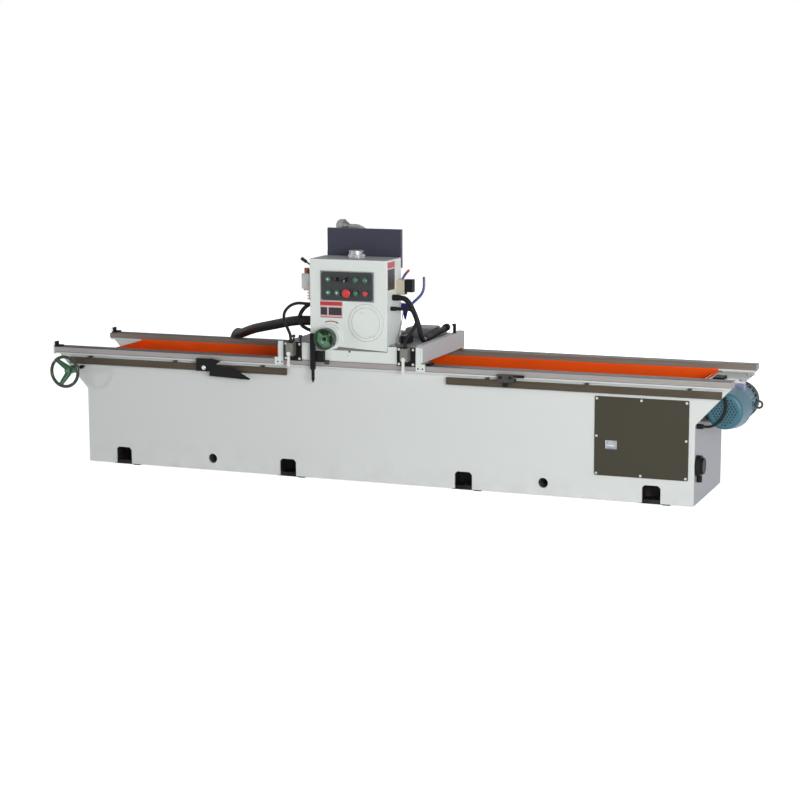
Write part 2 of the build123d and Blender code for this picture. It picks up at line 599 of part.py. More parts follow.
motor -= rod((sx, sy, 690), UPWARD, 280, 25 + RUNNING)
save("wheel_motor", motor)

# Guard: two lapped sheets with turned edges behind the column, on arms from the motor's cap.
upper = block(GUARD_X, (GUARD_Y, GUARD_Y + 3), (985, GUARD_TOP))
for edge in ((GUARD_X[0], GUARD_X[0] + 3), (GUARD_X[1] - 3, GUARD_X[1])):
    upper += block(edge, (GUARD_Y, GUARD_Y + 22), (985, GUARD_TOP))
upper += block(GUARD_X, (GUARD_Y, GUARD_Y + 18), (GUARD_TOP - 3, GUARD_TOP))
guard = [upper, block(GUARD_X, (GUARD_Y - 2, GUARD_Y), (985, 1057))]
for x in ((-170, -150), (-64, -44)):
    guard.append(block(x, (GUARD_Y + 3, GUARD_Y + 9), (993, 1060)))
    guard.append(block(x, (GUARD_Y + 9, 45), (993, 1001)))
save("splash_guard", *guard)

elbow_route = [(-246, 20, 1162), (-192, 20, 1161), (-146, 20, 1140), (-128, 20, 1090), (-128, 20, 993)]
elbow_line = FilletPolyline(*elbow_route, radius=60)
elbow = sweep(Plane(origin=elbow_route[0], z_dir=(54, 0, -1)) * Circle(11), path=elbow_line)
mouth = Plane(origin=(-240, 20, 1163), z_dir=(-20, 0, 1))
bowl = mouth.offset(20) * Cylinder(30, 42, align=BASE)
elbow += mouth * Cone(15, 29, 26, align=BASE) + fillet(bowl.edges().group_by(Axis.X)[0], 28)
elbow += rod((-128, 20, 993), UPWARD, 10, 17)
save("vent_elbow", elbow)
spindle = rod((sx, sy, 530), UPWARD, 430, 25) + rod((sx, sy, 548), UPWARD, 12, 90)
save("spindle", spindle)
save("grinding_wheel", ring((sx, sy, 520), UPWARD, 28, 100, 66))

# Lubricator on the left of the head box, with its outlet bar and pump handle.
tank = block((-364, -306), (-254, -194), (890, 960)) + block((-357, -314), (-248, -200), (881, 890))
tank += block((-340, COLUMN_X[0]), (-246, -202), (900, 956)) + block((-332, -306), (-238, -210), (960, 977))
tank += rod((-347, -230, 960), UPWARD, 24, 12)
tank += rod((-319, -238, 990), REARWARD, 28, 4)
for ear in ((-238, -232), (-216, -210)):
    tank += block((-325, -313), ear, (975, 995))
outlets = block((-310, COLUMN_X[0]), (-292, -278), (842, 908))
for i in range(5):
    outlets += rod((-310, -285, 849 + 13 * i), LEFTWARD, 10, 4)
save("lubricator", tank, outlets)
handle = ring((-319, -230, 990), REARWARD, 12, 9, 4 + RUNNING)
arm = Vector(-46, 0, 30)
handle += rod(Vector(-319, -224, 990) + arm * 0.15, arm, 34, 4)
handle += rod(Vector(-319, -224, 990) + arm * 0.7, arm, 30, 8)
save("lubricator_handle", handle)

# Cables, conduit and coolant lines of the carriage.
fittings = [
    rod((COLUMN_X[1], -229, 862), RIGHTWARD, 30, 14),
    rod((COLUMN_X[1], -253, 814), RIGHTWARD, 26, 10),
    rod((COLUMN_X[0], -214, 737), LEFTWARD, 30, 28),
    rod((COLUMN_X[0], -244, 819), LEFTWARD, 20, 11),
    rod((SWITCH_X[0], -330, DECK_TOP), UPWARD, 12, 10),
    rod((SWITCH_X[1], -330, DECK_TOP), UPWARD, 12, 10),
    block((96, 134), (-175, -115), (DECK_TOP, 680)),
    block((172, 198), (140, 170), (DECK_TOP, 661)),
    block((234, 246), (152, 166), (658, 703)) + block((234, 246), (140, 152), (694, 703)),
]
sleeve_from = Vector(207, -150, 664)
sleeve_to = Vector(183, 186, 676)
fittings.append(rod(sleeve_from, sleeve_to - sleeve_from, (sleeve_to - sleeve_from).length, 14))
fittings.append(rod(sleeve_to, sleeve_to - sleeve_from, 30, 18))
save("cable_fittings", *fittings)

conduit_route = [
    (-330, -214, 737),
    (-385, -214, 737),
    (-446, -190, 727),
    (-512, -150, 711),
    (-580, -104, 694),
    (-652, -50, 676),
    (-728, 16, 657),
    (-796, 86, 636),
    (-850, 148, 617),
    (-894, 204, 602),
    (-932, 256, 594),
    (-964, 304, 592),
    (-994, 341, 578),
    (-1017, 366, 551),
    (-1032, 381, 517),
    (-1039, 387, 481),
    (-1040, 388, 453),
    (-1040, 388, 425.4),
]
save("head_conduit", cord("head_conduit", conduit_route, 23))
left_route = [
    (-320, -244, 819),
    (-350, -244, 819),
    (-388, -250, 822),
    (-419, -259, 811),
    (-440, -270, 789),
    (-444, -284, 764),
    (-433, -299, 741),
    (-417, -312, 719),
    (-400, -323.5, 699),
    (-388, -330, 677),
    (-388, -330, 657),
]
save("left_switch_cable", cord("left_switch_cable", left_route, 7))
right_route = [
    (106, -253, 814),
    (130, -253, 814),
    (154, -253, 816),
    (178, -256, 813),
    (196, -262, 800),
    (210, -271, 781),
    (216, -283, 760),
    (211, -296, 739),
    (202, -310, 719),
    (189.5, -323, 699),
    (178, -330, 677),
    (178, -330, 657),
]
save("right_switch_cable", cord("right_switch_cable", right_route, 8))
deck_route = [
    (110, -229, 862),
    (130, -229, 862),
    (148, -229, 853),
    (162, -229, 836),
    (174, -229, 815),
    (185, -229, 793),
    (195, -229, 769),
    (203, -229, 745),
    (209, -227, 721),
    (212, -220, 698),
    (211.5, -206, 681),
    (210.2, -189.3, 669.1),
    (208.6, -170.2, 663.3),
    (207, -150.3, 664),
]
save("deck_cable", cord("deck_cable", deck_route, 12))

coolant = [
    block((COLUMN_X[1], 122), (-192, -156), (872, 940)),
    block((122, 160), (-190, -158), (884, 942)),
    block((40, 121), (COLUMN_Y[1], -94), (795, 823)),
    Plane(origin=(94, -109, 795), z_dir=(0, 0, -1)) * Cone(14, 4, 48, align=BASE),
]
long_hose = [(121, -109, 812), (140, -109, 834), (162, -109, 854), (178, -109, 874)]
long_hose += [(186, -109, 900), (187, -109, 925), (186, -109, 950)]
short_hose = [(102, -164, 940), (112, -164, 958), (136, -164, 984)]
coolant += bead_row(long_hose, 13, 7, 5) + bead_row(short_hose, 5, 6.5, 5)
save("coolant_lines", *coolant)
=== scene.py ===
import math

import bmesh
import bpy
from mathutils import Matrix, Vector


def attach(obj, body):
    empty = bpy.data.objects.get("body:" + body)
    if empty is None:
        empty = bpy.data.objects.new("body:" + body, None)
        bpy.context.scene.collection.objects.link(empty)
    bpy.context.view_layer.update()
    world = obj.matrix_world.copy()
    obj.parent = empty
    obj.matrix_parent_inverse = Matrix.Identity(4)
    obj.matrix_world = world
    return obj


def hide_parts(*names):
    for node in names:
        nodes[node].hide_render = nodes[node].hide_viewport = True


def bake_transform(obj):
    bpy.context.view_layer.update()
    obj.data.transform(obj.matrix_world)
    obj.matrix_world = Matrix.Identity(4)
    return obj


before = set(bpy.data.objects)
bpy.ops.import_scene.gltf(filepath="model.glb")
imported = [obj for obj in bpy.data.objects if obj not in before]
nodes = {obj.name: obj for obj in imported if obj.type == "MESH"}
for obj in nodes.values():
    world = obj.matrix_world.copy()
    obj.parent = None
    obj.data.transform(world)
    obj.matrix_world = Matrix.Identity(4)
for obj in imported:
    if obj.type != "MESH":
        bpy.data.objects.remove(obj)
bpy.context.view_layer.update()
scene = bpy.context.scene
scene.view_settings.view_transform = "Standard"

# Directions, and places that several pieces share, in metres.
FRONT, REAR, LEFT, UP = (0, -1, 0), (0, 1, 0), (-1, 0, 0), (0, 0, 1)
FULL_TURN = 2 * math.pi
MOST_TURN, CHAIN_LINKS = 6.28, 402
TILT_X, TILT_Z = -1.562, 0.457
FEED_X, FEED_Z = -0.195, 0.678
DRIVE_X, DRIVE_Z = 1.608, 0.419
IDLER_X, CHAIN_Y = -1.420, -0.160
SPINDLE_X, SPINDLE_Y = -0.107, 0.045
COVER_CENTRE = (-0.020, 0, 0.750)
DECK_TOP = 0.645
PANEL_FACE = -0.310
DEVICE_X = (-0.203, -0.159, -0.115, -0.068, -0.021)
ROW_Z = (0.945, 0.884)
DEVICES = [(x, z) for x in DEVICE_X for z in ROW_Z]
LAMPS = [(DEVICE_X[i], ROW_Z[j]) for i, j in ((0, 0), (0, 1), (1, 1))]

# Camera: the photograph's viewpoint, right of the machine and a little above its panel.
CAMERA_PLACE = (3.3524, -8.5363, 1.8751)
CAMERA_YAW, CAMERA_PITCH, CAMERA_ROLL = (math.radians(a) for a in (21.304, 9.456, -0.214))
CAMERA_LENS, CAMERA_SENSOR, CAMERA_REACH = 88.54, 36, 100


def add_camera():
    flat = math.cos(CAMERA_PITCH)
    ahead = Vector((-math.sin(CAMERA_YAW) * flat, math.cos(CAMERA_YAW) * flat, -math.sin(CAMERA_PITCH)))
    right = Vector((math.cos(CAMERA_YAW), math.sin(CAMERA_YAW), 0))
    level = Matrix((right, right.cross(ahead), -ahead)).transposed()
    lens = bpy.data.cameras.new("photo_camera")
    lens.lens = CAMERA_LENS
    lens.sensor_width = CAMERA_SENSOR
    lens.clip_end = CAMERA_REACH
    camera = bpy.data.objects.new("photo_camera", lens)
    turn = (level @ Matrix.Rotation(CAMERA_ROLL, 3, "Z")).to_4x4()
    camera.matrix_world = Matrix.Translation(CAMERA_PLACE) @ turn
    scene.collection.objects.link(camera)
    scene.camera = camera


add_camera()


# Nodes of the shader and geometry trees.
def feed(tree, inputs, values):
    """Drive each input by another node's output, or set it to a constant."""
    for key, value in values.items():
        if isinstance(value, bpy.types.NodeSocket):
            tree.links.new(value, inputs[key])
        else:
            inputs[key].default_value = value


def node(tree, kind, feeds=None, **settings):
    made = tree.nodes.new(kind)
    for key, value in settings.items():
        setattr(made, key, value)
    feed(tree, made.inputs, feeds or {})
    return made


def new_group(name, family, inputs, outputs):
    """An empty node group with its sockets. Gives the tree, its inputs and its outputs."""
    tree = bpy.data.node_groups.new(name, family + "NodeTree")
    for way, sockets in (("INPUT", inputs), ("OUTPUT", outputs)):
        for label, kind, *start in sockets:
            socket = tree.interface.new_socket(label, in_out=way, socket_type="NodeSocket" + kind)
            if start:
                socket.default_value = start[0]
    return tree, tree.nodes.new("NodeGroupInput").outputs, tree.nodes.new("NodeGroupOutput").inputs


def object_place(tree):
    return node(tree, "ShaderNodeTexCoord").outputs["Object"]


def axis_of(tree, place, axis):
    return node(tree, "ShaderNodeSeparateXYZ", {0: place}).outputs[axis]


def noise(tree, place, scale, detail):
    feeds = {"Vector": place, "Scale": scale, "Detail": detail}
    return node(tree, "ShaderNodeTexNoise", feeds).outputs["Fac"]


def maths(tree, kind, first, second):
    return node(tree, "ShaderNodeMath", {0: first, 1: second}, operation=kind).outputs[0]


def ramp(tree, value, low, high, out_low=0.0, out_high=1.0):
    feeds = {"Value": value, "From Min": low, "From Max": high, "To Min": out_low, "To Max": out_high}
    return node(tree, "ShaderNodeMapRange", feeds).outputs[0]


def blend_colour(tree, share, first, second):
    first, second = ((*c, 1) if isinstance(c, tuple) else c for c in (first, second))
    return node(tree, "ShaderNodeMix", {0: share, 6: first, 7: second}, data_type="RGBA").outputs[2]


# Shader groups shared by the finishes.
def make_paint_skin():
    """Sprayed enamel: slow shade drift, fine orange peel, and dust that gathers low down."""
    tree, given, out = new_group(
        "paint_skin", "Shader",
        [("Colour", "Color", (0.8, 0.8, 0.8, 1)), ("Drift", "Float", 0.05), ("Peel Scale", "Float", 450.0),
         ("Dust", "Float", 0.2)],
        [("Colour", "Color"), ("Gloss Break", "Float"), ("Height", "Float")])
    place = object_place(tree)
    slow = ramp(tree, noise(tree, place, 2.4, 4), 0.3, 0.7, -1, 1)
    value = maths(tree, "ADD", 1.0, maths(tree, "MULTIPLY", slow, given["Drift"]))
    tint = node(tree, "ShaderNodeHueSaturation", {"Color": given["Colour"], "Value": value}).outputs[0]
    low = ramp(tree, axis_of(tree, place, "Z"), 0.0, 0.16, 1, 0)
    patchy = ramp(tree, noise(tree, place, 11, 5), 0.42, 0.68)
    dust = maths(tree, "MULTIPLY", maths(tree, "MULTIPLY", low, patchy), given["Dust"])
    feed(tree, out, {
        "Colour": blend_colour(tree, dust, tint, (0.3, 0.27, 0.22)),
        "Gloss Break": noise(tree, place, 34, 4),
        "Height": noise(tree, place, given["Peel Scale"], 2),
    })
    return tree


def make_soft_edge():
    """Rounds the sharp edges in the shading and marks where they are rubbed."""
    tree, given, out = new_group(
        "soft_edge", "Shader",
        [("Width", "Float", 0.0015), ("Rub", "Float", 0.3)],
        [("Normal", "Vector"), ("Rubbed", "Float")])
    rounded = node(tree, "ShaderNodeBevel", {"Radius": given["Width"]}, samples=4).outputs[0]
    flat = node(tree, "ShaderNodeNewGeometry").outputs["Normal"]
    turn = node(tree, "ShaderNodeVectorMath", {0: rounded, 1: flat}, operation="DOT_PRODUCT")
    edge = ramp(tree, turn.outputs["Value"], 0.985, 0.86)
    patchy = ramp(tree, noise(tree, object_place(tree), 55, 5), 0.45, 0.62)
    rubbed = maths(tree, "MULTIPLY", maths(tree, "MULTIPLY", edge, patchy), given["Rub"])
    feed(tree, out, {"Normal": rounded, "Rubbed": rubbed})
    return tree


def make_tool_marks():
    """Fine streaks left by grinding or turning, stretched along the lay."""
    tree, given, out = new_group(
        "tool_marks", "Shader",
        [("Lay", "Vector", (2.0, 300.0, 300.0))],
        [("Streak", "Float"), ("Stain", "Float")])
    place = object_place(tree)
    stretched = node(tree, "ShaderNodeVectorMath", {0: place, 1: given["Lay"]}, operation="MULTIPLY")
    streak = noise(tree, stretched.outputs[0], 1.0, 6)
    feed(tree, out, {"Streak": streak, "Stain": noise(tree, place, 6.0, 5)})
    return tree


def make_moulded_grain():
    """Spark-eroded grain of moulded plastic and rubber, with a slow change of tone."""
    tree, given, out = new_group(
        "moulded_grain", "Shader",
        [("Grain Scale", "Float", 900.0)],
        [("Grain", "Float"), ("Tone", "Float")])
    place = object_place(tree)
    cells = node(tree, "ShaderNodeTexVoronoi", {"Vector": place, "Scale": given["Grain Scale"]})
    feed(tree, out, {"Grain": cells.outputs["Distance"], "Tone": noise(tree, place, 26, 4)})
    return tree


paint_skin = make_paint_skin()
soft_edge = make_soft_edge()
tool_marks = make_tool_marks()
moulded_grain = make_moulded_grain()
finishes = {}


def new_finish(name):
    made = finishes[name] = bpy.data.materials.new(name)
    made.use_nodes = True
    return made.node_tree, made.node_tree.nodes["Principled BSDF"]


def use_group(tree, group, feeds):
    return node(tree, "ShaderNodeGroup", feeds, node_tree=group).outputs


def relief(tree, height, strength, depth, edge):
    feeds = {"Strength": strength, "Distance": depth, "Height": height, "Normal": edge["Normal"]}
    return node(tree, "ShaderNodeBump", feeds).outputs[0]


def enamel(name, colour, rough=0.3, drift=0.03, peel=450.0, dust=0.0, rub=0.25, under=(0.35, 0.35, 0.36),
           width=0.0015, shine=0.5, bump=0.05):
    tree, shader = new_finish(name)
    feeds = {"Colour": (*colour, 1), "Drift": drift, "Peel Scale": peel, "Dust": dust}
    skin = use_group(tree, paint_skin, feeds)
    edge = use_group(tree, soft_edge, {"Width": width, "Rub": rub})
    feed(tree, shader.inputs, {
        "Base Color": blend_colour(tree, edge["Rubbed"], skin["Colour"], under),
        "Roughness": ramp(tree, skin["Gloss Break"], 0.3, 0.7, rough - 0.02, rough + 0.03),
        "Normal": relief(tree, skin["Height"], bump, 0.0004, edge),
        "Specular IOR Level": shine,
    })


def printed(name, colour, rough=0.4, shine=0.5):
    """A flat field of colour without worn edges."""
    enamel(name, colour, rough, rub=0, width=0.0003, shine=shine)


def worked_metal(name, colour, rough=0.3, lay=(2.0, 300.0, 300.0), stain=0.25, stain_colour=(0.2, 0.16, 0.12),
                 contrast=0.25, metallic=1.0, shine=0.5):
    """Ground or turned metal. The lay is one number where the marks run every way."""
    tree, shader = new_finish(name)
    marks = use_group(tree, tool_marks, {"Lay": lay if isinstance(lay, tuple) else (lay,) * 3})
    edge = use_group(tree, soft_edge, {"Width": 0.001, "Rub": 0.5})
    dark = tuple(c * (1 - contrast) for c in colour)
    light = tuple(min(1.0, c * (1 + contrast * 0.6)) for c in colour)
    bright = tuple(min(1.0, c * 1.3) for c in colour)
    streaked = blend_colour(tree, ramp(tree, marks["Streak"], 0.3, 0.7), dark, light)
    stained = ramp(tree, marks["Stain"], 0.5, 0.75, 0, stain)
    toned = blend_colour(tree, stained, streaked, stain_colour)
    feed(tree, shader.inputs, {
        "Base Color": blend_colour(tree, edge["Rubbed"], toned, bright),
        "Roughness": ramp(tree, marks["Streak"], 0.3, 0.7, rough - 0.06, rough + 0.1),
        "Normal": relief(tree, marks["Streak"], 0.1, 0.0002, edge),
        "Metallic": metallic,
        "Specular IOR Level": shine,
    })


def moulded(name, colour, rough=0.4, grain=900.0, depth=0.15, tone=0.12, clear=0.0, coat=0.0, shine=0.5):
    tree, shader = new_finish(name)
    body = use_group(tree, moulded_grain, {"Grain Scale": grain})
    edge = use_group(tree, soft_edge, {"Width": 0.001, "Rub": 0.0})
    dark = tuple(c * (1 - tone) for c in colour)
    light = tuple(min(1.0, c * (1 + tone) + 0.004) for c in colour)
    feed(tree, shader.inputs, {
        "Base Color": blend_colour(tree, ramp(tree, body["Tone"], 0.3, 0.7), dark, light),
        "Roughness": ramp(tree, body["Tone"], 0.3, 0.7, rough - 0.05, rough + 0.06),
        "Normal": relief(tree, body["Grain"], depth, 0.0003, edge),
        "Transmission Weight": clear,
        "Coat Weight": coat,
        "Specular IOR Level": shine,
    })
    return shader


def glowing_lens(name, colour, strength):
    shader = moulded(name, colour, rough=0.15, depth=0.03, coat=0.5)
    shader.inputs["Emission Color"].default_value = (*colour, 1)
    shader.inputs["Emission Strength"].default_value = strength


# Paint on the bed, the carriage and the covers.
# The third white is the bed's white paint darkened and tinted lavender as painted shade, for the bed's right end
# face.
for wall, colour, under in (("white_enamel", (0.70, 0.72, 0.71), 0.5), ("head_white", (0.77, 0.81, 0.78), 0.5),
                            ("end_white", (0.345, 0.352, 0.385), 0.4)):
    enamel(wall, colour, rough=0.42, drift=0.008, dust=0.12, rub=0.1, under=(under,) * 3, shine=0.3, bump=0.03)
# Painted shade: the white paint darkened for the tops of the bed, carriage and column, and for the carriage beam's
# right face.
enamel("white_top", (0.56, 0.56, 0.57), rough=0.6, rub=0.1, shine=0.12, bump=0.03)
# Inside faces of the bed's walls: a dark primer, and painted shade so that holes and pockets look dark inside.
enamel("bed_primer", (0.07, 0.07, 0.072), rough=0.6, drift=0.1, dust=0.3, shine=0.2)
enamel("orange_enamel", (0.9, 0.098, 0.008), rough=0.45, drift=0.05, rub=0.15, shine=0.1)
enamel("black_paint", (0.01, 0.01, 0.01), rough=0.45, dust=0.1, rub=0.3, shine=0.12)
enamel("cover_olive", (0.047, 0.042, 0.028), rough=0.5, peel=260, rub=0.2, shine=0.25)
enamel("motor_teal", (0.05, 0.165, 0.22), rough=0.35, drift=0.15, rub=0.3, shine=0.35)
# The motor's terminal box: the motor's teal shown as lavender, as painted shade and reflection.
enamel("motor_neck", (0.24, 0.25, 0.4), rough=0.4, shine=0.3)
enamel("motor_rim", (0.008, 0.022, 0.02), rough=0.4, shine=0.08)
enamel("hood_blue", (0.044, 0.046, 0.07), rough=0.45, drift=0.05, rub=0.15, shine=0.25)
enamel("panel_grey", (0.042, 0.048, 0.05), rough=0.5, peel=700, rub=0.1, shine=0.25)
enamel("deck_grey", (0.17, 0.17, 0.185), rough=0.55, drift=0.08, peel=320, shine=0.15)
enamel("valve_cream", (0.58, 0.53, 0.41), rough=0.4)
# Painted shade inside the air holes.
printed("vent_dark", (0.008, 0.02, 0.028), rough=0.5)
printed("plate_red", (0.52, 0.03, 0.035))
printed("plate_dark", (0.035, 0.03, 0.033), shine=0.3)
printed("plate_pale", (0.66, 0.5, 0.49))
printed("arrow_red", (0.3, 0.045, 0.06))
printed("seam_shadow", (0.3, 0.31, 0.3), rough=0.6, shine=0.2)

# Bare, oxidised and plated metal.
worked_metal("rail_side", (0.35, 0.328, 0.32), rough=0.5, stain=0.12, contrast=0.12, metallic=0.35, shine=0.3)
# Rail tops: a dull dark grey as painted shade.
worked_metal("rail_top", (0.13, 0.13, 0.132), rough=0.6, stain=0.15, contrast=0.12, metallic=0.0, shine=0.05)
# The rear rail's front face: a painted brown reflection.
worked_metal("rail_brown", (0.24, 0.197, 0.167), rough=0.55, stain=0.4, metallic=0.3, shine=0.2)
worked_metal("bar_oxide", (0.075, 0.06, 0.042), rough=0.48, stain=0.35, stain_colour=(0.13, 0.1, 0.07),
             metallic=0.4, shine=0.3)
worked_metal("eye_iron", (0.06, 0.075, 0.07), rough=0.45, lay=240, metallic=0.3, shine=0.2)
worked_metal("panel_edge", (0.3, 0.3, 0.29), rough=0.45, lay=90)
worked_metal("bezel_dark", (0.085, 0.09, 0.09), rough=0.35, lay=90)
worked_metal("turned_steel", (0.36, 0.36, 0.37), rough=0.4, lay=(60, 60, 500), stain=0.08)
worked_metal("zinc_steel", (0.62, 0.62, 0.6), rough=0.35, lay=200, stain=0.15)
worked_metal("machined_iron", (0.17, 0.17, 0.18), rough=0.5, lay=120, metallic=0.8)
worked_metal("dog_charcoal", (0.05, 0.05, 0.052), rough=0.45, lay=160, metallic=0.7)
worked_metal("bearing_bronze", (0.5, 0.33, 0.13), rough=0.35, lay=150)
worked_metal("brass_pin", (0.6, 0.42, 0.16), rough=0.25, lay=150)
worked_metal("cast_grey", (0.36, 0.36, 0.345), rough=0.5, lay=240, stain=0.2, metallic=0.7)
worked_metal("switch_cast", (0.21, 0.21, 0.19), rough=0.5, lay=240, stain=0.2, metallic=0.5, shine=0.3)
worked_metal("lever_white", (0.74, 0.73, 0.7), rough=0.35, lay=200, metallic=0.5)
worked_metal("elbow_grey", (0.34, 0.34, 0.33), rough=0.5, lay=80, metallic=0.6)
worked_metal("chain_oiled", (0.16, 0.15, 0.14), rough=0.38, lay=150, stain=0.3)

# Plastic, rubber and the grinding wheel.
for wheel, colour, rough in (("wheel_green", (0.006, 0.095, 0.027), 0.2),
                             ("rim_green", (0.012, 0.034, 0.017), 0.18)):
    moulded(wheel, colour, rough=rough, depth=0.05, tone=0.3, coat=0.3, shine=0.3)
# Painted shade: a darker copy of the wheel green, for the hollows and the hub of the feed wheel.
moulded("gap_green", (0.003, 0.028, 0.008), rough=0.3, depth=0.05, shine=0.2)
# Painted highlight: the wheels' green lightened, for the feed wheel's web and the tilt wheel's hub nut.
moulded("wheel_web", (0.1, 0.27, 0.13), rough=0.2, depth=0.05, tone=0.35, coat=0.3)
moulded("rubber_black", (0.008, 0.008, 0.008), rough=0.65, grain=600, depth=0.3, shine=0.05)
moulded("cable_sheath", (0.01, 0.01, 0.011), rough=0.5, grain=500, shine=0.15)
moulded("nylon_black", (0.011, 0.011, 0.012), rough=0.5, shine=0.12)
moulded("knob_black", (0.011, 0.011, 0.012), rough=0.25, depth=0.05, coat=0.1, shine=0.2)
moulded("gear_plastic", (0.16, 0.165, 0.17), rough=0.45)
moulded("breaker_white", (0.72, 0.74, 0.78), rough=0.35)
moulded("breaker_blue", (0.12, 0.17, 0.3), rough=0.35)
moulded("cap_green", (0.008, 0.15, 0.08), rough=0.2, depth=0.05, coat=0.4)
moulded("cap_red", (0.6, 0.016, 0.018), rough=0.25, depth=0.05, coat=0.3)
moulded("cap_brown", (0.3, 0.06, 0.025), rough=0.35)
moulded("pointer_red", (0.5, 0.03, 0.03), rough=0.35, depth=0.05)
moulded("pointer_white", (0.75, 0.75, 0.74), rough=0.35, depth=0.05)
moulded("tank_clear", (0.68, 0.68, 0.7), rough=0.18, depth=0.05, clear=0.35, coat=0.3)
moulded("hose_blue", (0.035, 0.055, 0.26), rough=0.3, depth=0.05, coat=0.2)
moulded("hose_base", (0.014, 0.01, 0.2), rough=0.35, depth=0.05, shine=0.3)
moulded("hose_tip", (0.07, 0.09, 0.15), rough=0.3, depth=0.05)
moulded("nozzle_red", (0.42, 0.05, 0.022), rough=0.3, depth=0.05)
moulded("abrasive", (0.6, 0.6, 0.57), rough=0.9, grain=420, depth=0.9, tone=0.25)
glowing_lens("lens_green", (0.015, 0.17, 0.1), 0.12)
# Painted highlight: a faintly glowing white spot at the centre of each pilot lamp.
glowing_lens("lens_white", (0.6, 0.7, 0.68), 0.1)


def add_chuck_face():
    """Ground magnetic face with pole strips let in across it."""
    worked_metal("chuck_face", (0.5, 0.51, 0.52), rough=0.28, stain=0.15)
    tree = finishes["chuck_face"].node_tree
    colour = tree.nodes["Principled BSDF"].inputs["Base Color"]
    ground = colour.links[0].from_socket
    place = object_place(tree)
    strip = ramp(tree, maths(tree, "PINGPONG", axis_of(tree, place, "X"), 0.011), 0.0022, 0.0026, 1, 0)
    top = ramp(tree, axis_of(tree, place, "Z"), 0.4612, 0.4616)
    share = maths(tree, "MULTIPLY", strip, top)
    tree.links.new(blend_colour(tree, share, ground, (0.42, 0.3, 0.13)), colour)


add_chuck_face()


# Finishes of the CAD nodes. Each later finish takes the faces that its test picks by centre and normal.
def dress(part, first, *others):
    mesh = nodes[part].data
    mesh.materials.clear()
    for name in (first, *(name for name, _ in others)):
        mesh.materials.append(finishes[name])
    for face in mesh.polygons:
        face.material_index = 0
        for index, (_, test) in enumerate(others, 1):
            if test(face.center, face.normal):
                face.material_index = index


def inside(low, high):
    return lambda c, n: all(a - 1e-4 <= v <= b + 1e-4 for a, v, b in zip(low, c, high))


def faces_up(c, n):
    return n.z > 0.5


def away(c, spots):
    return min(math.hypot(c.x - x, c.z - z) for x, z in spots)


PLAIN_PARTS = {
    "head_white": ("round_cover",),
    "orange_enamel": ("trough_pan",),
    "black_paint": ("machine_feet", "left_dog", "switch_plates", "feed_trip_lever"),
    "cover_olive": ("cabinet_cover",),
    "motor_teal": ("wheel_motor",),
    "hood_blue": ("splash_guard",),
    "bar_oxide": ("trip_bars",),
    "zinc_steel": ("cover_screws",),
    "machined_iron": ("tilt_gearbox", "table_bearings", "chuck_beam", "drive_sprocket", "idler_sprocket",
                      "head_slide"),
    "chuck_face": ("magnetic_chuck",),
    "bearing_bronze": ("worm_wheel", "slide_pads"),
    "turned_steel": ("worm_shaft", "feed_screw", "spindle"),
    "switch_cast": ("limit_switches",),
    "lever_white": ("left_switch_lever", "right_switch_lever"),
    "nylon_black": ("cable_entries",),
    "knob_black": ("tilt_lock_knob", "selector_left", "selector_right", "lubricator_handle"),
    "breaker_white": ("breaker_toggle",),
    "cap_green": ("button_start", "button_jog", "button_feed"),
    "cap_red": ("button_stop",),
    "abrasive": ("grinding_wheel",),
}
for finish, parts in PLAIN_PARTS.items():
    for part in parts:
        dress(part, finish)

dress("bed_frame", "white_enamel",
      # Inside faces: dark primer and painted shade.
      ("bed_primer", inside((-1.491, -0.2645, 0.0), (1.491, 0.2645, 0.5285))),
      # Tops of the bed: painted shade.
      ("white_top", lambda c, n: n.z > 0.7 and c.z > 0.5),
      # The right end plate's top: painted light, in the lighter white of the head.
      ("head_white", lambda c, n: n.z > 0.7 and c.z > 0.5 and c.x > 1.487),
      # The bed's right end face takes the white darkened as painted shade.
      ("end_white", lambda c, n: n.x > 0.9 and c.x > 1.495))
# Rail tops: painted shade.
dress("front_rail", "rail_side", ("rail_top", faces_up))
# The rear rail's front face: painted brown reflection.
dress("rear_rail", "rail_side", ("rail_top", faces_up), ("rail_brown", lambda c, n: n.y < -0.5))
dress("stop_buffers", "rubber_black", ("zinc_steel", lambda c, n: c.x < -1.66 and min(n.x, n.y) < -0.5))
dress("control_gear", "gear_plastic",
      ("zinc_steel", inside((1.0, -0.27, 0.1), (1.48, -0.1995, 0.5))),
      ("gear_plastic", inside((1.06, -0.2585, 0.14), (1.45, -0.2045, 0.42))),
      ("breaker_white", inside((1.0995, -0.276, 0.2), (1.1525, -0.2035, 0.305))))
dress("tilt_handwheel", "wheel_green", ("rim_green", lambda c, n: away(c, [(TILT_X, TILT_Z)]) > 0.0635))
dress("travel_motor", "motor_teal",
      ("motor_rim", lambda c, n: c.y > 0.0995),
      # The terminal box: painted shade and reflection in lavender.
      ("motor_neck", inside((1.6155, -0.0455, 0.469), (1.6605, 0.0085, 0.5225))),
      ("eye_iron", inside((1.6985, -0.02, 0.395), (1.745, 0.04, 0.455))),
      ("motor_rim", inside((1.499, -0.051, 0.343), (1.531, 0.091, 0.495))),
      ("nylon_black", inside((1.499, -0.1225, 0.4875), (1.5385, -0.0595, 0.5225))))
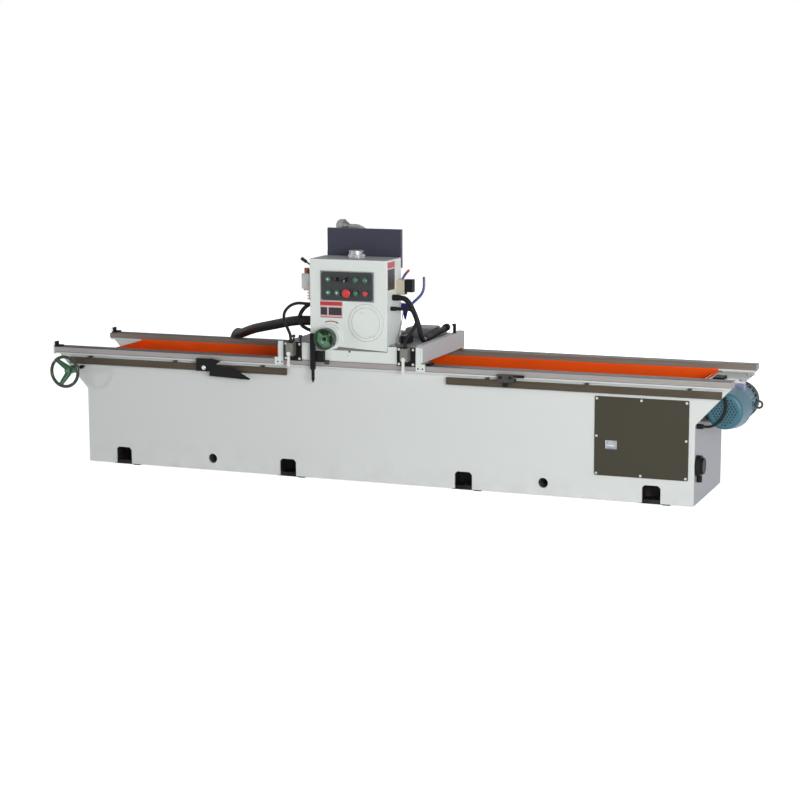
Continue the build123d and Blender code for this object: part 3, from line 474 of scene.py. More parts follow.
# The right dog's lowest strip is painted black as shade under the block. Its lever at the right end is black paint.
dress("right_dog", "dog_charcoal", ("black_paint", lambda c, n: c.z < 0.5135 or c.x > 0.6905))
dress("carriage_frame", "head_white",
      # Tops, and the beam's right face: painted shade.
      ("white_top", lambda c, n: (n.z > 0.5 and c.z > 0.6) or (n.x > 0.9 and c.x > 0.24)),
      ("deck_grey", lambda c, n: n.z > 0.5 and abs(c.z - DECK_TOP) < 0.001),
      ("deck_grey", inside((0.035, 0.039, 0.6451), (0.159, 0.183, 0.690))),
      ("machined_iron", inside((-0.1275, -0.1755, 0.449), (-0.0865, -0.1445, 0.634))))
dress("column", "head_white",
      # The column's top: painted shade.
      ("white_top", lambda c, n: n.z > 0.7),
      ("machined_iron", lambda c, n: c.y > -0.1235 or (abs(c.x + 0.1) < 0.023 and c.z < 0.654 and c.y < -0.2)))
dress("control_panel", "panel_grey",
      ("bezel_dark", lambda c, n: away(c, DEVICES) < 0.0152 and c.y < -0.3102),
      ("lens_green", lambda c, n: away(c, LAMPS) < 0.0106 and c.y < -0.3105))
dress("emergency_stop", "cap_red", ("knob_black", lambda c, n: c.y > -0.3275))
dress("feed_handwheel", "rim_green",
      # The web is painted lighter as a highlight.
      ("wheel_web", lambda c, n: away(c, [(FEED_X, FEED_Z)]) < 0.0435 and -0.39 < c.y < -0.358),
      ("turned_steel", lambda c, n: c.y > -0.343))
dress("vent_elbow", "elbow_grey", ("machined_iron", inside((-0.262, -0.02, 1.13), (-0.2395, 0.06, 1.2))))
dress("lubricator", "tank_clear",
      ("cap_brown", lambda c, n: c.z > 0.9602 and c.x < -0.336),
      ("cast_grey", lambda c, n: c.x > -0.3338 and (c.z > 0.9602 or c.x > -0.3058)),
      ("cast_grey", inside((-0.3105, -0.2925, 0.841), (-0.2995, -0.2775, 0.909))),
      ("brass_pin", lambda c, n: c.x < -0.3102 and c.y < -0.2795 and c.z < 0.91))
dress("cable_fittings", "nylon_black",
      ("rubber_black", lambda c, n: 0.15 < c.x < 0.23 and c.y > -0.149),
      ("cast_grey", inside((0.171, 0.139, 0.644), (0.199, 0.171, 0.662))))
dress("coolant_lines", "hose_blue",
      ("valve_cream", inside((0.079, -0.193, 0.871), (0.1225, -0.155, 0.941))),
      ("nylon_black", inside((0.1215, -0.191, 0.883), (0.161, -0.157, 0.943))),
      ("hose_base", inside((0.039, -0.125, 0.746), (0.1215, -0.093, 0.824))),
      ("hose_tip", lambda c, n: c.z > 0.926 and c.x > 0.17),
      ("nozzle_red", lambda c, n: c.z > 0.968 and c.x < 0.15))

# Cords. The first five routes are those of the tubes in the part, the other three are thin leads beside them.
CONDUIT_ROUTE = (
    (-0.33, -0.214, 0.737), (-0.385, -0.214, 0.737), (-0.446, -0.19, 0.727), (-0.512, -0.15, 0.711),
    (-0.58, -0.104, 0.694), (-0.652, -0.05, 0.676), (-0.728, 0.016, 0.657), (-0.796, 0.086, 0.636),
    (-0.85, 0.148, 0.617), (-0.894, 0.204, 0.602), (-0.932, 0.256, 0.594), (-0.964, 0.304, 0.592),
    (-0.994, 0.341, 0.578), (-1.017, 0.366, 0.551), (-1.032, 0.381, 0.517), (-1.039, 0.387, 0.481),
    (-1.04, 0.388, 0.453), (-1.04, 0.388, 0.4254),
)
LEFT_SWITCH_ROUTE = (
    (-0.32, -0.244, 0.819), (-0.35, -0.244, 0.819), (-0.388, -0.25, 0.822), (-0.419, -0.259, 0.811),
    (-0.44, -0.27, 0.789), (-0.444, -0.284, 0.764), (-0.433, -0.299, 0.741), (-0.417, -0.312, 0.719),
    (-0.4, -0.3235, 0.699), (-0.388, -0.33, 0.677), (-0.388, -0.33, 0.657),
)
RIGHT_SWITCH_ROUTE = (
    (0.106, -0.253, 0.814), (0.13, -0.253, 0.814), (0.154, -0.253, 0.816), (0.178, -0.256, 0.813),
    (0.196, -0.262, 0.8), (0.21, -0.271, 0.781), (0.216, -0.283, 0.76), (0.211, -0.296, 0.739),
    (0.202, -0.31, 0.719), (0.1895, -0.323, 0.699), (0.178, -0.33, 0.677), (0.178, -0.33, 0.657),
)
DECK_ROUTE = (
    (0.11, -0.229, 0.862), (0.13, -0.229, 0.862), (0.148, -0.229, 0.853), (0.162, -0.229, 0.836),
    (0.174, -0.229, 0.815), (0.185, -0.229, 0.793), (0.195, -0.229, 0.769), (0.203, -0.229, 0.745),
    (0.209, -0.227, 0.721), (0.212, -0.22, 0.698), (0.2115, -0.206, 0.681), (0.2102, -0.1893, 0.6691),
    (0.2086, -0.1702, 0.6633), (0.207, -0.1503, 0.664),
)
MOTOR_ROUTE = (
    (1.528, -0.24, 0.355), (1.548, -0.24, 0.355), (1.568, -0.238, 0.36), (1.588, -0.233, 0.372),
    (1.605, -0.227, 0.392), (1.616, -0.221, 0.418), (1.621, -0.217, 0.446), (1.616, -0.214, 0.472),
    (1.603, -0.211, 0.493), (1.583, -0.207, 0.506), (1.56, -0.2, 0.511), (1.539, -0.187, 0.509),
    (1.526, -0.167, 0.506), (1.519, -0.143, 0.505), (1.519, -0.122, 0.505),
)
OIL_ROUTE = (
    (0.088, -0.12, 0.8), (0.087, -0.1215, 0.778), (0.086, -0.131, 0.744), (0.086, -0.154, 0.708),
    (0.086, -0.18, 0.676), (0.086, -0.195, 0.656), (0.086, -0.2, 0.644),
)
UPPER_LEAD_ROUTE = (
    (-0.392, -0.222, 0.748), (-0.385, -0.225, 0.768), (-0.371, -0.226, 0.789), (-0.352, -0.225, 0.807),
    (-0.328, -0.223, 0.819), (-0.302, -0.222, 0.823),
)
LOWER_LEAD_ROUTE = (
    (-0.390, -0.224, 0.730), (-0.378, -0.232, 0.718), (-0.360, -0.236, 0.706), (-0.334, -0.238, 0.696),
    (-0.300, -0.238, 0.686),
)
CONDUIT_RADIUS, CONDUIT_SIDES, WRAP_STEP, WRAP_GROOVE = 0.0230, 28, 0.016, 0.0011


def route_curve(name, points, radius):
    line = bpy.data.curves.new(name, "CURVE")
    line.dimensions = "3D"
    spline = line.splines.new("NURBS")
    spline.points.add(len(points) - 1)
    for point, place in zip(spline.points, points):
        point.co = (*place, 1)
    spline.order_u = 3
    spline.use_endpoint_u = True
    spline.resolution_u = 12
    line.bevel_depth = radius
    line.bevel_resolution = 6
    line.use_fill_caps = True
    made = bpy.data.objects.new(name, line)
    scene.collection.objects.link(made)
    return made


def cable(name, points, radius, body, stands_for=None, finish="cable_sheath"):
    made = route_curve(name, points, radius)
    made.data.materials.append(finishes[finish])
    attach(made, body)
    if stands_for:
        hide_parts(stands_for)


def evaluated_mesh(made):
    return bpy.data.meshes.new_from_object(made.evaluated_get(bpy.context.evaluated_depsgraph_get()))


def link(name, mesh, *names):
    made = bpy.data.objects.new(name, mesh)
    for finish in names:
        mesh.materials.append(finishes[finish])
    scene.collection.objects.link(made)
    return made


def smooth(mesh, angle):
    mesh.polygons.foreach_set("use_smooth", [True] * len(mesh.polygons))
    mesh.set_sharp_from_angle(angle=angle)


def outward(form):
    bmesh.ops.recalc_face_normals(form, faces=form.faces)
    return form


def mesh_of(name, form):
    mesh = bpy.data.meshes.new(name)
    form.to_mesh(mesh)
    form.free()
    return mesh


def sleeve_mesh(name, points, radius_at, sides):
    """A tube along a line whose radius follows the distance travelled."""
    form = bmesh.new()
    rings = []
    travelled = 0.0
    side = (points[1] - points[0]).normalized().orthogonal().normalized()
    turns = [FULL_TURN * k / sides for k in range(sides)]
    for i, place in enumerate(points):
        before, after = points[max(i - 1, 0)], points[min(i + 1, len(points) - 1)]
        ahead = (after - before).normalized()
        travelled += (place - before).length
        side = (side - ahead * side.dot(ahead)).normalized()
        other = ahead.cross(side)
        radius = radius_at(travelled)
        rings.append([form.verts.new(place + (side * math.cos(t) + other * math.sin(t)) * radius) for t in turns])
    for lower, upper in zip(rings, rings[1:]):
        for k in range(sides):
            form.faces.new((lower[k - 1], lower[k], upper[k], upper[k - 1]))
    form.faces.new(reversed(rings[0]))
    form.faces.new(rings[-1])
    return mesh_of(name, outward(form))


def conduit_radius(travelled):
    return CONDUIT_RADIUS - WRAP_GROOVE * abs(math.sin(math.pi * travelled / WRAP_STEP)) ** 6


def add_conduit():
    """Conduit with a grooved wrap, from the head box to the junction box behind the bed."""
    guide = route_curve("conduit_guide", CONDUIT_ROUTE, 0)
    guide.data.splines[0].resolution_u = 40
    bare = evaluated_mesh(guide)
    line = [v.co.copy() for v in bare.vertices]
    bpy.data.meshes.remove(bare)
    bpy.data.objects.remove(guide)
    mesh = sleeve_mesh("head_conduit_sleeve", line, conduit_radius, CONDUIT_SIDES)
    smooth(mesh, 1.0)
    made = link("head_conduit_sleeve", mesh, "cable_sheath")
    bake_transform(made)
    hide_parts("head_conduit")


cable("left_switch_lead", LEFT_SWITCH_ROUTE, 0.007, "carriage", "left_switch_cable")
cable("right_switch_lead", RIGHT_SWITCH_ROUTE, 0.008, "carriage", "right_switch_cable")
cable("deck_lead", DECK_ROUTE, 0.012, "carriage", "deck_cable")
cable("motor_lead", MOTOR_ROUTE, 0.006, "bed", "motor_cable")
add_conduit()
cable("oil_line", OIL_ROUTE, 0.0026, "carriage", finish="cast_grey")
cable("upper_lead", UPPER_LEAD_ROUTE, 0.0095, "carriage")
cable("lower_lead", LOWER_LEAD_ROUTE, 0.0084, "carriage")


# Repeated pieces. A node tree places the copies, and the result is kept as one plain mesh.
def copies(tree, points, piece, feeds):
    source = node(tree, "GeometryNodeObjectInfo", {"As Instance": True, "Object": piece})
    feeds = {"Points": points, "Instance": source.outputs["Geometry"], **feeds}
    return node(tree, "GeometryNodeInstanceOnPoints", feeds).outputs[0]


def finish_tree(tree, shape, given, out):
    real = node(tree, "GeometryNodeRealizeInstances", {"Geometry": shape})
    coat = node(tree, "GeometryNodeSetMaterial", {"Geometry": real.outputs[0], "Material": given["Finish"]})
    feed(tree, out, {"Geometry": coat.outputs[0]})


def make_placed_copies():
    """One copy at each point, standing on the surface there and turned by chance about its axis."""
    tree, given, out = new_group(
        "placed_copies", "Geometry",
        [("Geometry", "Geometry"), ("Piece", "Object"), ("Size", "Float", 1.0), ("Most Turn", "Float", MOST_TURN),
         ("Seed", "Int", 7), ("Finish", "Material")],
        [("Geometry", "Geometry")])
    aim = node(tree, "GeometryNodeInputNamedAttribute", {"Name": "aim"}, data_type="FLOAT_VECTOR")
    stand = node(tree, "FunctionNodeAlignRotationToVector", {"Vector": aim.outputs[0]}, axis="Z")
    chance = node(tree, "FunctionNodeRandomValue", {"Seed": given["Seed"]}, data_type="FLOAT")
    limits = [socket for socket in chance.inputs if socket.type == "VALUE"]
    tree.links.new(given["Most Turn"], limits[1])
    chosen = next(socket for socket in chance.outputs if socket.type == "VALUE")
    spin = node(tree, "FunctionNodeAxisAngleToRotation", {"Axis": (0, 0, 1), "Angle": chosen})
    turned = node(tree, "FunctionNodeRotateRotation",
                  {"Rotation": stand.outputs[0], "Rotate By": spin.outputs[0]}, rotation_space="LOCAL")
    feeds = {"Rotation": turned.outputs[0], "Scale": given["Size"]}
    finish_tree(tree, copies(tree, given["Geometry"], given["Piece"], feeds), given, out)
    return tree


def make_chain_run():
    """Inner and outer links by turns along a closed line that lies in X and Z."""
    tree, given, out = new_group(
        "chain_run", "Geometry",
        [("Geometry", "Geometry"), ("Inner Link", "Object"), ("Outer Link", "Object"),
         ("Links", "Int", CHAIN_LINKS), ("Finish", "Material")],
        [("Geometry", "Geometry")])
    line = node(tree, "GeometryNodeMeshToCurve", {"Mesh": given["Geometry"]}).outputs[0]
    steps = node(tree, "GeometryNodeResampleCurve", {"Curve": line, "Count": given["Links"]}, mode="COUNT")
    tangent = node(tree, "GeometryNodeInputTangent").outputs[0]
    turn = node(tree, "FunctionNodeAlignRotationToVector", {"Vector": tangent}, axis="X", pivot_axis="Y")
    odd = maths(tree, "MODULO", node(tree, "GeometryNodeInputIndex").outputs[0], 2)
    even = maths(tree, "SUBTRACT", 1, odd)
    both = node(tree, "GeometryNodeJoinGeometry")
    for piece, pick in (("Inner Link", odd), ("Outer Link", even)):
        run = copies(tree, steps.outputs[0], given[piece], {"Rotation": turn.outputs[0], "Selection": pick})
        tree.links.new(run, both.inputs[0])
    finish_tree(tree, both.outputs[0], given, out)
    return tree


placed_copies = make_placed_copies()
chain_run = make_chain_run()


def grow(name, base, tree, **values):
    """Run a tree on a base mesh and keep what it makes as a plain piece."""
    seed = link(name + "_seed", base)
    modifier = seed.modifiers.new("grow", "NODES")
    modifier.node_group = tree
    for socket in tree.interface.items_tree:
        label = socket.name.replace(" ", "_")
        if socket.in_out == "INPUT" and label in values:
            modifier[socket.identifier] = values[label]
    mesh = evaluated_mesh(seed)
    bpy.data.objects.remove(seed)
    mesh.name = name
    return link(name, mesh)


def turned_piece(name, *profiles):
    """A piece turned about Z. Each profile is a count of sides and a list of radius and height."""
    form = bmesh.new()
    for sides, profile in profiles:
        turns = [FULL_TURN * (k + 0.5) / sides for k in range(sides)]
        rings = []
        for radius, height in profile:
            around = turns if radius else turns[:1]
            rings.append([form.verts.new((radius * math.cos(t), radius * math.sin(t), height)) for t in around])
        for lower, upper in zip(rings, rings[1:]):
            for k in range(sides):
                ends = (lower[k % len(lower)], lower[(k + 1) % len(lower)],
                        upper[(k + 1) % len(upper)], upper[k % len(upper)])
                form.faces.new(list(dict.fromkeys(ends)))
        form.faces.new(reversed(rings[0]))
    mesh = mesh_of(name, outward(form))
    smooth(mesh, 0.5)
    return mesh


SMALL_PIECES = {
    "hex_bolt": [(20, [(0.0105, 0), (0.0105, 0.0012), (0.0098, 0.0016), (0, 0.0016)]),
                 (6, [(0.0078, 0.0016), (0.0078, 0.0058), (0.0066, 0.0068), (0, 0.0068)])],
    "cap_screw": [(20, [(0.0052, 0), (0.0065, 0.0004), (0.0065, 0.0052), (0.0058, 0.006), (0.0036, 0.006),
                        (0.0033, 0.0026), (0, 0.0022)])],
    "pan_screw": [(16, [(0.0055, 0), (0.0054, 0.0012), (0.0044, 0.0026), (0.0026, 0.0033), (0.0011, 0.0034),
                        (0.0010, 0.0022), (0, 0.0021)])],
    "thumb_screw": [(12, [(0.0045, 0), (0.0045, 0.018), (0.0085, 0.0195), (0.0088, 0.027), (0.0072, 0.0305),
                          (0, 0.0315)])],
    "hub_nut": [(20, [(0.012, 0), (0.012, 0.0018), (0.0112, 0.0022), (0, 0.0022)]),
                (6, [(0.0095, 0.0022), (0.0095, 0.0085), (0.008, 0.0098), (0, 0.0098)]),
                (12, [(0.005, 0.0098), (0.005, 0.0125), (0.0042, 0.0134), (0, 0.0134)])],
    "vent_hole": [(8, [(0.0046, 0), (0.0042, 0.0003), (0, 0.0002)])],
    "lamp_dome": [(24, [(0.0102, 0), (0.0102, 0.0008), (0.0092, 0.0022), (0.0066, 0.0033), (0.0044, 0.0036),
                        (0.0042, 0.0033)])],
    "button_dome": [(24, [(0.0088, 0), (0.0086, 0.0006), (0.0068, 0.0019), (0.0036, 0.0027), (0, 0.003)])],
    "lamp_eye": [(20, [(0.0044, 0.0030), (0.0034, 0.0037), (0.0018, 0.0041), (0, 0.0042)])],
}
small_pieces = {name: link(name, turned_piece(name, *profiles)) for name, profiles in SMALL_PIECES.items()}


def scatter(name, body, finish, piece, places, size=1.0):
    """Copies of a small piece at stated places, each with the way it faces."""
    base = bpy.data.meshes.new(name + "_places")
    base.from_pydata([place for place, _ in places], [], [])
    aim = base.attributes.new("aim", "FLOAT_VECTOR", "POINT")
    aim.data.foreach_set("vector", [value for _, way in places for value in way])
    made = grow(name, base, placed_copies, Piece=small_pieces[piece], Size=size, Most_Turn=MOST_TURN,
                Finish=finishes[finish])
    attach(made, body)


def grid(way, xs, ys, zs):
    return [((x, y, z), way) for x in xs for y in ys for z in zs]


scatter("switch_plate_screws", "carriage", "zinc_steel", "pan_screw",
        grid(FRONT, (-0.422, -0.354, 0.140, 0.208), (PANEL_FACE,), (0.570, 0.637)), 1.2)
scatter("pad_foot_screws", "carriage", "black_paint", "vent_hole",
        grid(FRONT, (-0.463, -0.442, 0.233, 0.255), (-0.313,), (0.552,)), 0.9)
scatter("column_foot_bolts", "carriage", "cast_grey", "hex_bolt",
        grid(UP, (-0.316, 0.096), (-0.274, -0.205), (DECK_TOP,)))
scatter("cover_plate_screws", "carriage", "zinc_steel", "pan_screw",
        [((-0.066, PANEL_FACE, 0.814), FRONT), ((-0.038, -0.313, 0.796), FRONT), ((0.0, -0.313, 0.692), FRONT),
         ((0.023, PANEL_FACE, 0.686), FRONT), ((-0.113, -0.304, 0.593), FRONT)])
scatter("deck_thumb_screws", "carriage", "knob_black", "thumb_screw",
        grid(UP, (-0.398, -0.364), (-0.274,), (DECK_TOP,)))
scatter("panel_screws", "carriage", "panel_edge", "pan_screw",
        grid(FRONT, (-0.238, 0.011), (PANEL_FACE,), (0.852, 0.976)), 0.55)
# Lamp domes, each with a painted highlight spot at its centre.
for kind, finish in (("dome", "lens_green"), ("eye", "lens_white")):
    scatter(f"lamp_{kind}s", "carriage", finish, "lamp_" + kind,
            [((x, -0.321, z), FRONT) for x, z in LAMPS])
for cap, colour, i, j in (("start", "green", 3, 0), ("jog", "green", 4, 0), ("feed", "green", 3, 1),
                          ("stop", "red", 4, 1)):
    scatter(cap + "_dome", cap + "_cap", "cap_" + colour, "button_dome",
            [((DEVICE_X[i], -0.322, ROW_Z[j]), FRONT)])
scatter("dog_clamp_screw", "dog_left", "zinc_steel", "hex_bolt",
        [((-0.843, -0.324, 0.505), FRONT)])
scatter("right_dog_screws", "dog_right", "black_paint", "cap_screw",
        grid(FRONT, (0.628, 0.674), (-0.324,), (0.536,)))
# The tilt wheel's hub nut, in the lighter green of the painted highlight.
scatter("tilt_hub_nut", "tilt_wheel", "wheel_web", "hub_nut", [((TILT_X, -0.352, TILT_Z), FRONT)])
# The feed wheel's hub nut is painted dark green as shade.
scatter("feed_hub_nut", "feed_wheel", "gap_green", "hub_nut",
        [((FEED_X, -0.384, FEED_Z), FRONT)], 0.85)
scatter("gearbox_screws", "bed", "black_paint", "cap_screw",
        grid(LEFT, (-1.602,), (-0.003, 0.093), (0.362, 0.473)))
scatter("junction_screws", "bed", "zinc_steel", "pan_screw",
        grid(UP, (-1.080, -1.000), (0.290, 0.425), (0.409,)))
scatter("end_plate_bolts", "bed", "cast_grey", "hex_bolt",
        grid(UP, (1.632,), (0.04, 0.21), (0.522,)))
scatter("rail_screws", "bed", "machined_iron", "cap_screw",
        grid(UP, [-1.56 + 0.24 * i for i in range(14)], (-0.27, 0.27), (0.5615,)), 0.6)
scatter("head_slide_screws", "wheel_head", "black_paint", "cap_screw",
        grid(REAR, (-0.182, -0.033), (-0.100,), (0.72, 0.80, 0.88, 0.94)))

# Air holes: dark dots as painted shade in place of open holes, in staggered rows in the chain guard and in rings in
# the motor cowls.
GUARD_HOLES = [(0.0138 * (i + 0.5 * (j % 2)), 0.0119 * j) for i in range(-5, 6) for j in range(-5, 6)]
COWL_RINGS = ((0.030, 12), (0.045, 18), (0.060, 24), (0.075, 30))
COWL_HOLES = [(r * math.cos(FULL_TURN * k / n), r * math.sin(FULL_TURN * k / n))
              for r, n in COWL_RINGS for k in range(n)]
scatter("chain_guard_holes", "bed", "vent_dark", "vent_hole",
        [((DRIVE_X + x, -0.196, DRIVE_Z + z), FRONT) for x, z in GUARD_HOLES if math.hypot(x, z) < 0.06])
scatter("motor_cowl_holes", "bed", "vent_dark", "vent_hole",
        [((DRIVE_X + x, 0.150, DRIVE_Z + z), REAR) for x, z in COWL_HOLES], 0.8)
scatter("head_motor_holes", "wheel_head", "vent_dark", "vent_hole",
        [((SPINDLE_X + x, SPINDLE_Y + y, 0.993), UP) for x, y in COWL_HOLES if math.hypot(x, y) < 0.065], 0.8)


def link_mesh(name, plates_y, pin, pin_half):
    """A chain link: two rounded side plates and the two pins or rollers between them."""
    half_length, radius = 0.0079, 0.0042
    form = bmesh.new()
    turns = [math.pi * k / 4 for k in range(-2, 3)]
    outline = [(half_length + radius * math.cos(t), radius * math.sin(t)) for t in turns]
    outline += [(-x, -z) for x, z in outline]
    solids = [(outline, y) for y in plates_y]
    ring = [(pin * math.cos(math.pi * k / 4), pin * math.sin(math.pi * k / 4)) for k in range(8)]
    for middle in (-half_length, half_length):
        solids.append(([(middle + x, z) for x, z in ring], (-pin_half, pin_half)))
    for edge, (near, far) in solids:
        front = [form.verts.new((x, near, z)) for x, z in edge]
        back = [form.verts.new((x, far, z)) for x, z in edge]
        form.faces.new(front)
        form.faces.new(reversed(back))
        for k in range(len(edge)):
            form.faces.new((front[k - 1], back[k - 1], back[k], front[k]))
    return link(name, mesh_of(name, outward(form)))


def add_chain():
    radius = 0.05074
    half_turn = [math.pi * (k / 24 - 0.5) for k in range(25)]
    line = [(DRIVE_X + radius * math.cos(a), CHAIN_Y, DRIVE_Z + radius * math.sin(a)) for a in half_turn]
    line += [(IDLER_X - radius * math.cos(a), CHAIN_Y, DRIVE_Z - radius * math.sin(a)) for a in half_turn]
    base = bpy.data.meshes.new("chain_line")
    base.from_pydata(line, [(k - 1, k) for k in range(1, len(line))] + [(len(line) - 1, 0)], [])
    inner = link_mesh("inner_link", ((-0.0042, -0.0029), (0.0029, 0.0042)), 0.0034, 0.0029)
    outer = link_mesh("outer_link", ((-0.0057, -0.0044), (0.0044, 0.0057)), 0.0021, 0.006)
    made = grow("chain_links", base, chain_run, Inner_Link=inner, Outer_Link=outer, Links=CHAIN_LINKS,
                Finish=finishes["chain_oiled"])
    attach(made, "bed")
    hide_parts("travel_chain")
    bpy.data.objects.remove(inner)
    bpy.data.objects.remove(outer)


add_chain()
for used in small_pieces.values():
    bpy.data.objects.remove(used)


# Small fitted pieces: plates, strips, marks and brackets.
def keep_form(name, form, body, slot, *names):
    """Turn a finished form into a piece that rides on a body."""
    made = link(name, mesh_of(name, form), *names)
    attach(made, body)
    return made


def bar_piece(name, body, slot, *bars):
    """Bevelled bars in one mesh. Each bar is a finish, its reach along X, Z and Y, and its bevel."""
    form = bmesh.new()
    names = list(dict.fromkeys(finish for finish, *_ in bars))
    for finish, x, z, y, bevel in bars:
        made = bmesh.ops.create_cube(form, size=1.0)["verts"]
        size = [b - a for a, b in (x, y, z)]
        middle = [(a + b) / 2 for a, b in (x, y, z)]
        bmesh.ops.transform(form, matrix=Matrix.Translation(middle) @ Matrix.Diagonal((*size, 1)), verts=made)
        for face in {face for vert in made for face in vert.link_faces}:
            face.material_index = names.index(finish)
        edges = list({edge for vert in made for edge in vert.link_edges})
        bmesh.ops.bevel(form, geom=edges, offset=bevel, segments=2, affect="EDGES", profile=0.6)
    return keep_form(name, form, body, slot, *names)


PLATE_BACK, PLATE_FIELD = (-0.3067, -0.3058), (-0.3071, -0.3064)
SIDE_BACK, SIDE_FIELD = (0.0797, 0.0807), (0.0803, 0.0811)
BREAKER_X = (1.1005, 1.1515)
BRACKET_X = (-0.228, -0.206)
bar_piece("feed_plate", "carriage", "white_paint",
          ("plate_pale", (-0.249, -0.137), (0.766, 0.843), PLATE_BACK, 0.0002),
          ("plate_red", (-0.248, -0.138), (0.823, 0.841), PLATE_FIELD, 0.0002),
          ("plate_dark", (-0.246, -0.213), (0.779, 0.815), PLATE_FIELD, 0.0002),
          ("plate_dark", (-0.206, -0.141), (0.779, 0.815), PLATE_FIELD, 0.0002),
          ("plate_red", (-0.246, -0.141), (0.768, 0.772), PLATE_FIELD, 0.0002))
bar_piece("side_plate", "carriage", "white_paint",
          ("plate_pale", SIDE_BACK, (0.898, 1.028), (-0.295, -0.206), 0.0002),
          ("plate_red", SIDE_FIELD, (1.000, 1.026), (-0.293, -0.208), 0.0002),
          ("plate_dark", SIDE_FIELD, (0.900, 0.994), (-0.293, -0.208), 0.0002))
bar_piece("panel_border", "carriage", "panel_grey",
          *[("panel_edge", x, z, (-0.3107, -0.3095), 0.0003)
            for x, z in (((-0.245, 0.018), (0.9795, 0.983)), ((-0.245, 0.018), (0.845, 0.8485)),
                         ((-0.245, -0.2415), (0.8485, 0.9795)), ((0.0145, 0.018), (0.8485, 0.9795)))])
bar_piece("slide_wiper", "carriage", "rubber_black",
          ("rubber_black", (0.262, 0.286), (0.5655, 0.575), (-0.302, -0.240), 0.0012),
          ("cast_grey", (0.2505, 0.264), (0.5665, 0.578), (-0.300, -0.242), 0.001))
bar_piece("rail_bracket", "carriage", "switch_grey",
          ("dog_charcoal", BRACKET_X, (0.5658, 0.570), (-0.318, -0.270), 0.0008),
          ("dog_charcoal", BRACKET_X, (0.550, 0.5672), (-0.3125, -0.3055), 0.0012))
# Painted shadow: a thin dark line under the front rail, where it meets the bed.
bar_piece("rail_line", "bed", "rail_steel",
          ("plate_dark", (-1.652, 1.652), (0.5386, 0.5404), (-0.3044, -0.3036), 0.0002))
bar_piece("front_wiper", "carriage", "white_paint",
          ("white_enamel", (-0.4355, 0.2215), (0.5656, 0.5706), (-0.3035, -0.285), 0.0004))
bar_piece("pan_lip", "bed", "orange_paint",
          ("orange_enamel", (-1.479, 1.487), (0.5325, 0.5402), (0.2322, 0.2342), 0.0004))
bar_piece("seam_strip", "carriage", "white_paint",
          ("seam_shadow", (-0.299, 0.079), (0.6205, 0.6222), (-0.3063, -0.3038), 0.0002),
          ("plate_dark", (-0.109, -0.099), (0.609, 0.619), (-0.3065, -0.3035), 0.0018))
bar_piece("breaker_poles", "bed", "gear_grey",
          ("breaker_white", BREAKER_X, (0.2705, 0.2738), (-0.2765, -0.2735), 0.0005),
          ("breaker_blue", BREAKER_X, (0.2362, 0.2395), (-0.2762, -0.2735), 0.0004),
          *[("breaker_blue", (x, x + 0.0022), (0.2705, 0.2735), (-0.2768, -0.2735), 0.0003)
            for x in (1.1165, 1.1335)])


def turned_mark(name, body, finish, x, lean, ends):
    """The pointer let into a selector's grip."""
    made = bar_piece(name, body, "knob_black", (finish, (-0.0015, 0.0015), ends, (-0.3338, -0.3322), 0.0003))
    made.data.transform(Matrix.Translation((x, 0, ROW_Z[0])) @ Matrix.Rotation(math.radians(lean), 4, "Y"))


turned_mark("left_pointer", "left_selector", "pointer_red", DEVICE_X[1], -30, (0.001, 0.0095))
turned_mark("right_pointer", "right_selector", "pointer_white", DEVICE_X[2], 30, (-0.0095, -0.001))


def curved_strip(form, centre, turns, section, closed=False):
    """A strip bent round an axis along Y. The section lists radius and depth."""
    rows = []
    for angle in turns:
        out = Vector((math.cos(angle), 0, math.sin(angle)))
        rows.append([form.verts.new(Vector(centre) + out * radius + Vector((0, y, 0))) for radius, y in section])
    for first, second in zip(rows, rows[1:] + rows[:1] if closed else rows[1:]):
        for k in range(len(section)):
            form.faces.new((first[k - 1], first[k], second[k], second[k - 1]))
    if not closed:
        form.faces.new(rows[0])
        form.faces.new(rows[-1])


def add_feed_arrow():
    """A curved arrow over the feed handwheel, showing which way it turns."""
    centre, radius, half_width, half_head = (FEED_X, 0, 0.672), 0.079, 0.0024, 0.0042
    near, far = -0.3062, -0.3058
    form = bmesh.new()
    section = [(radius - half_width, near), (radius + half_width, near),
               (radius + half_width, far), (radius - half_width, far)]
    curved_strip(form, centre, [math.radians(a) for a in range(68, 113, 4)], section)
    point, base = math.radians(60), math.radians(69)
    corners = [(base, radius - half_head), (base, radius + half_head), (point, radius)]
    flat = [[form.verts.new(Vector(centre) + Vector((math.cos(a) * r, y, math.sin(a) * r))) for a, r in corners]
            for y in (near, far)]
    form.faces.new(flat[0])
    form.faces.new(flat[1])
    for k in range(3):
        form.faces.new((flat[0][k - 1], flat[0][k], flat[1][k], flat[1][k - 1]))
    keep_form("feed_arrow", outward(form), "carriage", "button_red", "arrow_red")


def add_feed_wheel_shade():
    """Painted shade: dark green strips in the dish of the feed handwheel, where its hollows are shaded."""
    form = bmesh.new()
    section = [(0.0175, -0.3652), (0.0432, -0.3652), (0.0432, -0.3642), (0.0175, -0.3642)]
    for middle in (100, 350):
        turns = [math.radians(middle + 8 * k) for k in range(-5, 6)]
        curved_strip(form, (FEED_X, 0, FEED_Z), turns, section)
    keep_form("feed_wheel_gaps", outward(form), "feed_wheel", "green_wheel", "gap_green")


def ring_line(name, radius, y):
    """The fine gap round the flush cover, as a thin raised ring."""
    form = bmesh.new()
    steps, rise = 96, 0.0003
    section = [(radius - 0.0007, y), (radius - 0.0004, y - rise), (radius + 0.0004, y - rise), (radius + 0.0007, y)]
    curved_strip(form, COVER_CENTRE, [FULL_TURN * k / steps for k in range(steps)], section, closed=True)
    keep_form(name, outward(form), "carriage", "white_paint", "seam_shadow")


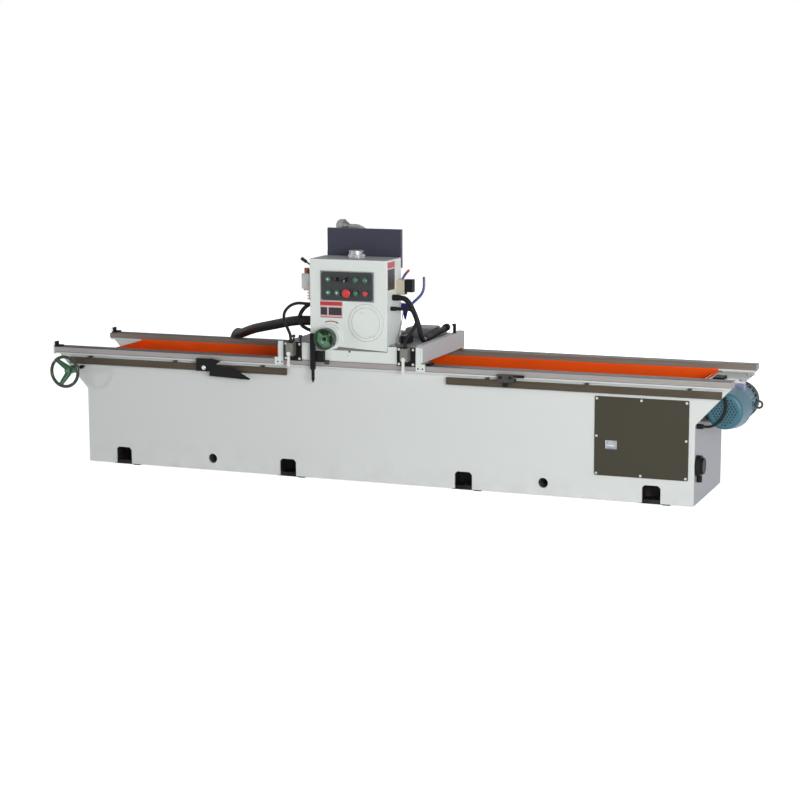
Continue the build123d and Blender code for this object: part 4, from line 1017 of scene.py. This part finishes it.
add_feed_arrow()
add_feed_wheel_shade()
ring_line("cover_outer_line", 0.0855, -0.3100)
ring_line("cover_inner_line", 0.0695, -0.3130)


# Stage and light.
def seen_directly(tree):
    """One for rays from the camera and for those it sees in gloss or through clear parts."""
    path = node(tree, "ShaderNodeLightPath").outputs
    seen = maths(tree, "MAXIMUM", path["Is Camera Ray"], path["Is Glossy Ray"])
    return maths(tree, "MAXIMUM", seen, path["Is Transmission Ray"])


def add_stage():
    mesh = bpy.data.meshes.new("floor")
    mesh.from_pydata([(-30, -30, 0), (30, -30, 0), (30, 30, 0), (-30, 30, 0)], [], [(0, 1, 2, 3)])
    tree, shader = new_finish("pale_floor")
    feed(tree, shader.inputs, {
        "Base Color": (0.8, 0.8, 0.8, 1),
        "Roughness": 0.9,
        "Emission Color": (1, 1, 1, 1),
        "Emission Strength": maths(tree, "MULTIPLY", seen_directly(tree), 0.80),
    })
    link("floor", mesh, "pale_floor")


def add_world():
    world = bpy.data.worlds.new("studio")
    world.use_nodes = True
    scene.world = world
    tree = world.node_tree
    around = node(tree, "ShaderNodeTexCoord").outputs["Generated"]
    soft = ramp(tree, axis_of(tree, around, "Z"), 0.0, 0.7, 0.42, 0.2)
    seen = seen_directly(tree)
    feed(tree, tree.nodes["Background"].inputs, {
        "Strength": node(tree, "ShaderNodeMix", {0: seen, 2: soft, 3: 1.0}).outputs[0],
        "Color": blend_colour(tree, seen, (0.94, 0.94, 1.0), (1.0, 1.0, 1.0)),
    })


def add_softbox(name, place, target, size, power, colour=(1, 1, 1)):
    lamp = bpy.data.lights.new(name, "AREA")
    lamp.shape = "RECTANGLE"
    lamp.size, lamp.size_y = size
    lamp.energy = power
    lamp.color = colour
    made = bpy.data.objects.new(name, lamp)
    made.location = place
    made.rotation_euler = (Vector(target) - Vector(place)).to_track_quat("-Z", "Y").to_euler()
    made.visible_camera = False
    scene.collection.objects.link(made)


add_stage()
add_world()
add_softbox("front_softbox", (4.4, -6.1, 1.9), (0.7, -0.3, 0.5), (3.0, 2.2), 322, (0.985, 1.0, 0.965))
add_softbox("left_lamp", (-6.5, -5.0, 1.0), (-1.0, -0.3, 0.4), (0.3, 0.3), 42)
add_softbox("right_softbox", (16.0, -4.0, 3.0), (0.8, 0, 0.5), (5.0, 4.0), 270, (0.84, 0.86, 1.0))
add_softbox("rear_softbox", (-0.5, 6.5, 1.6), (0, 0.3, 0.5), (3.0, 2.0), 120)
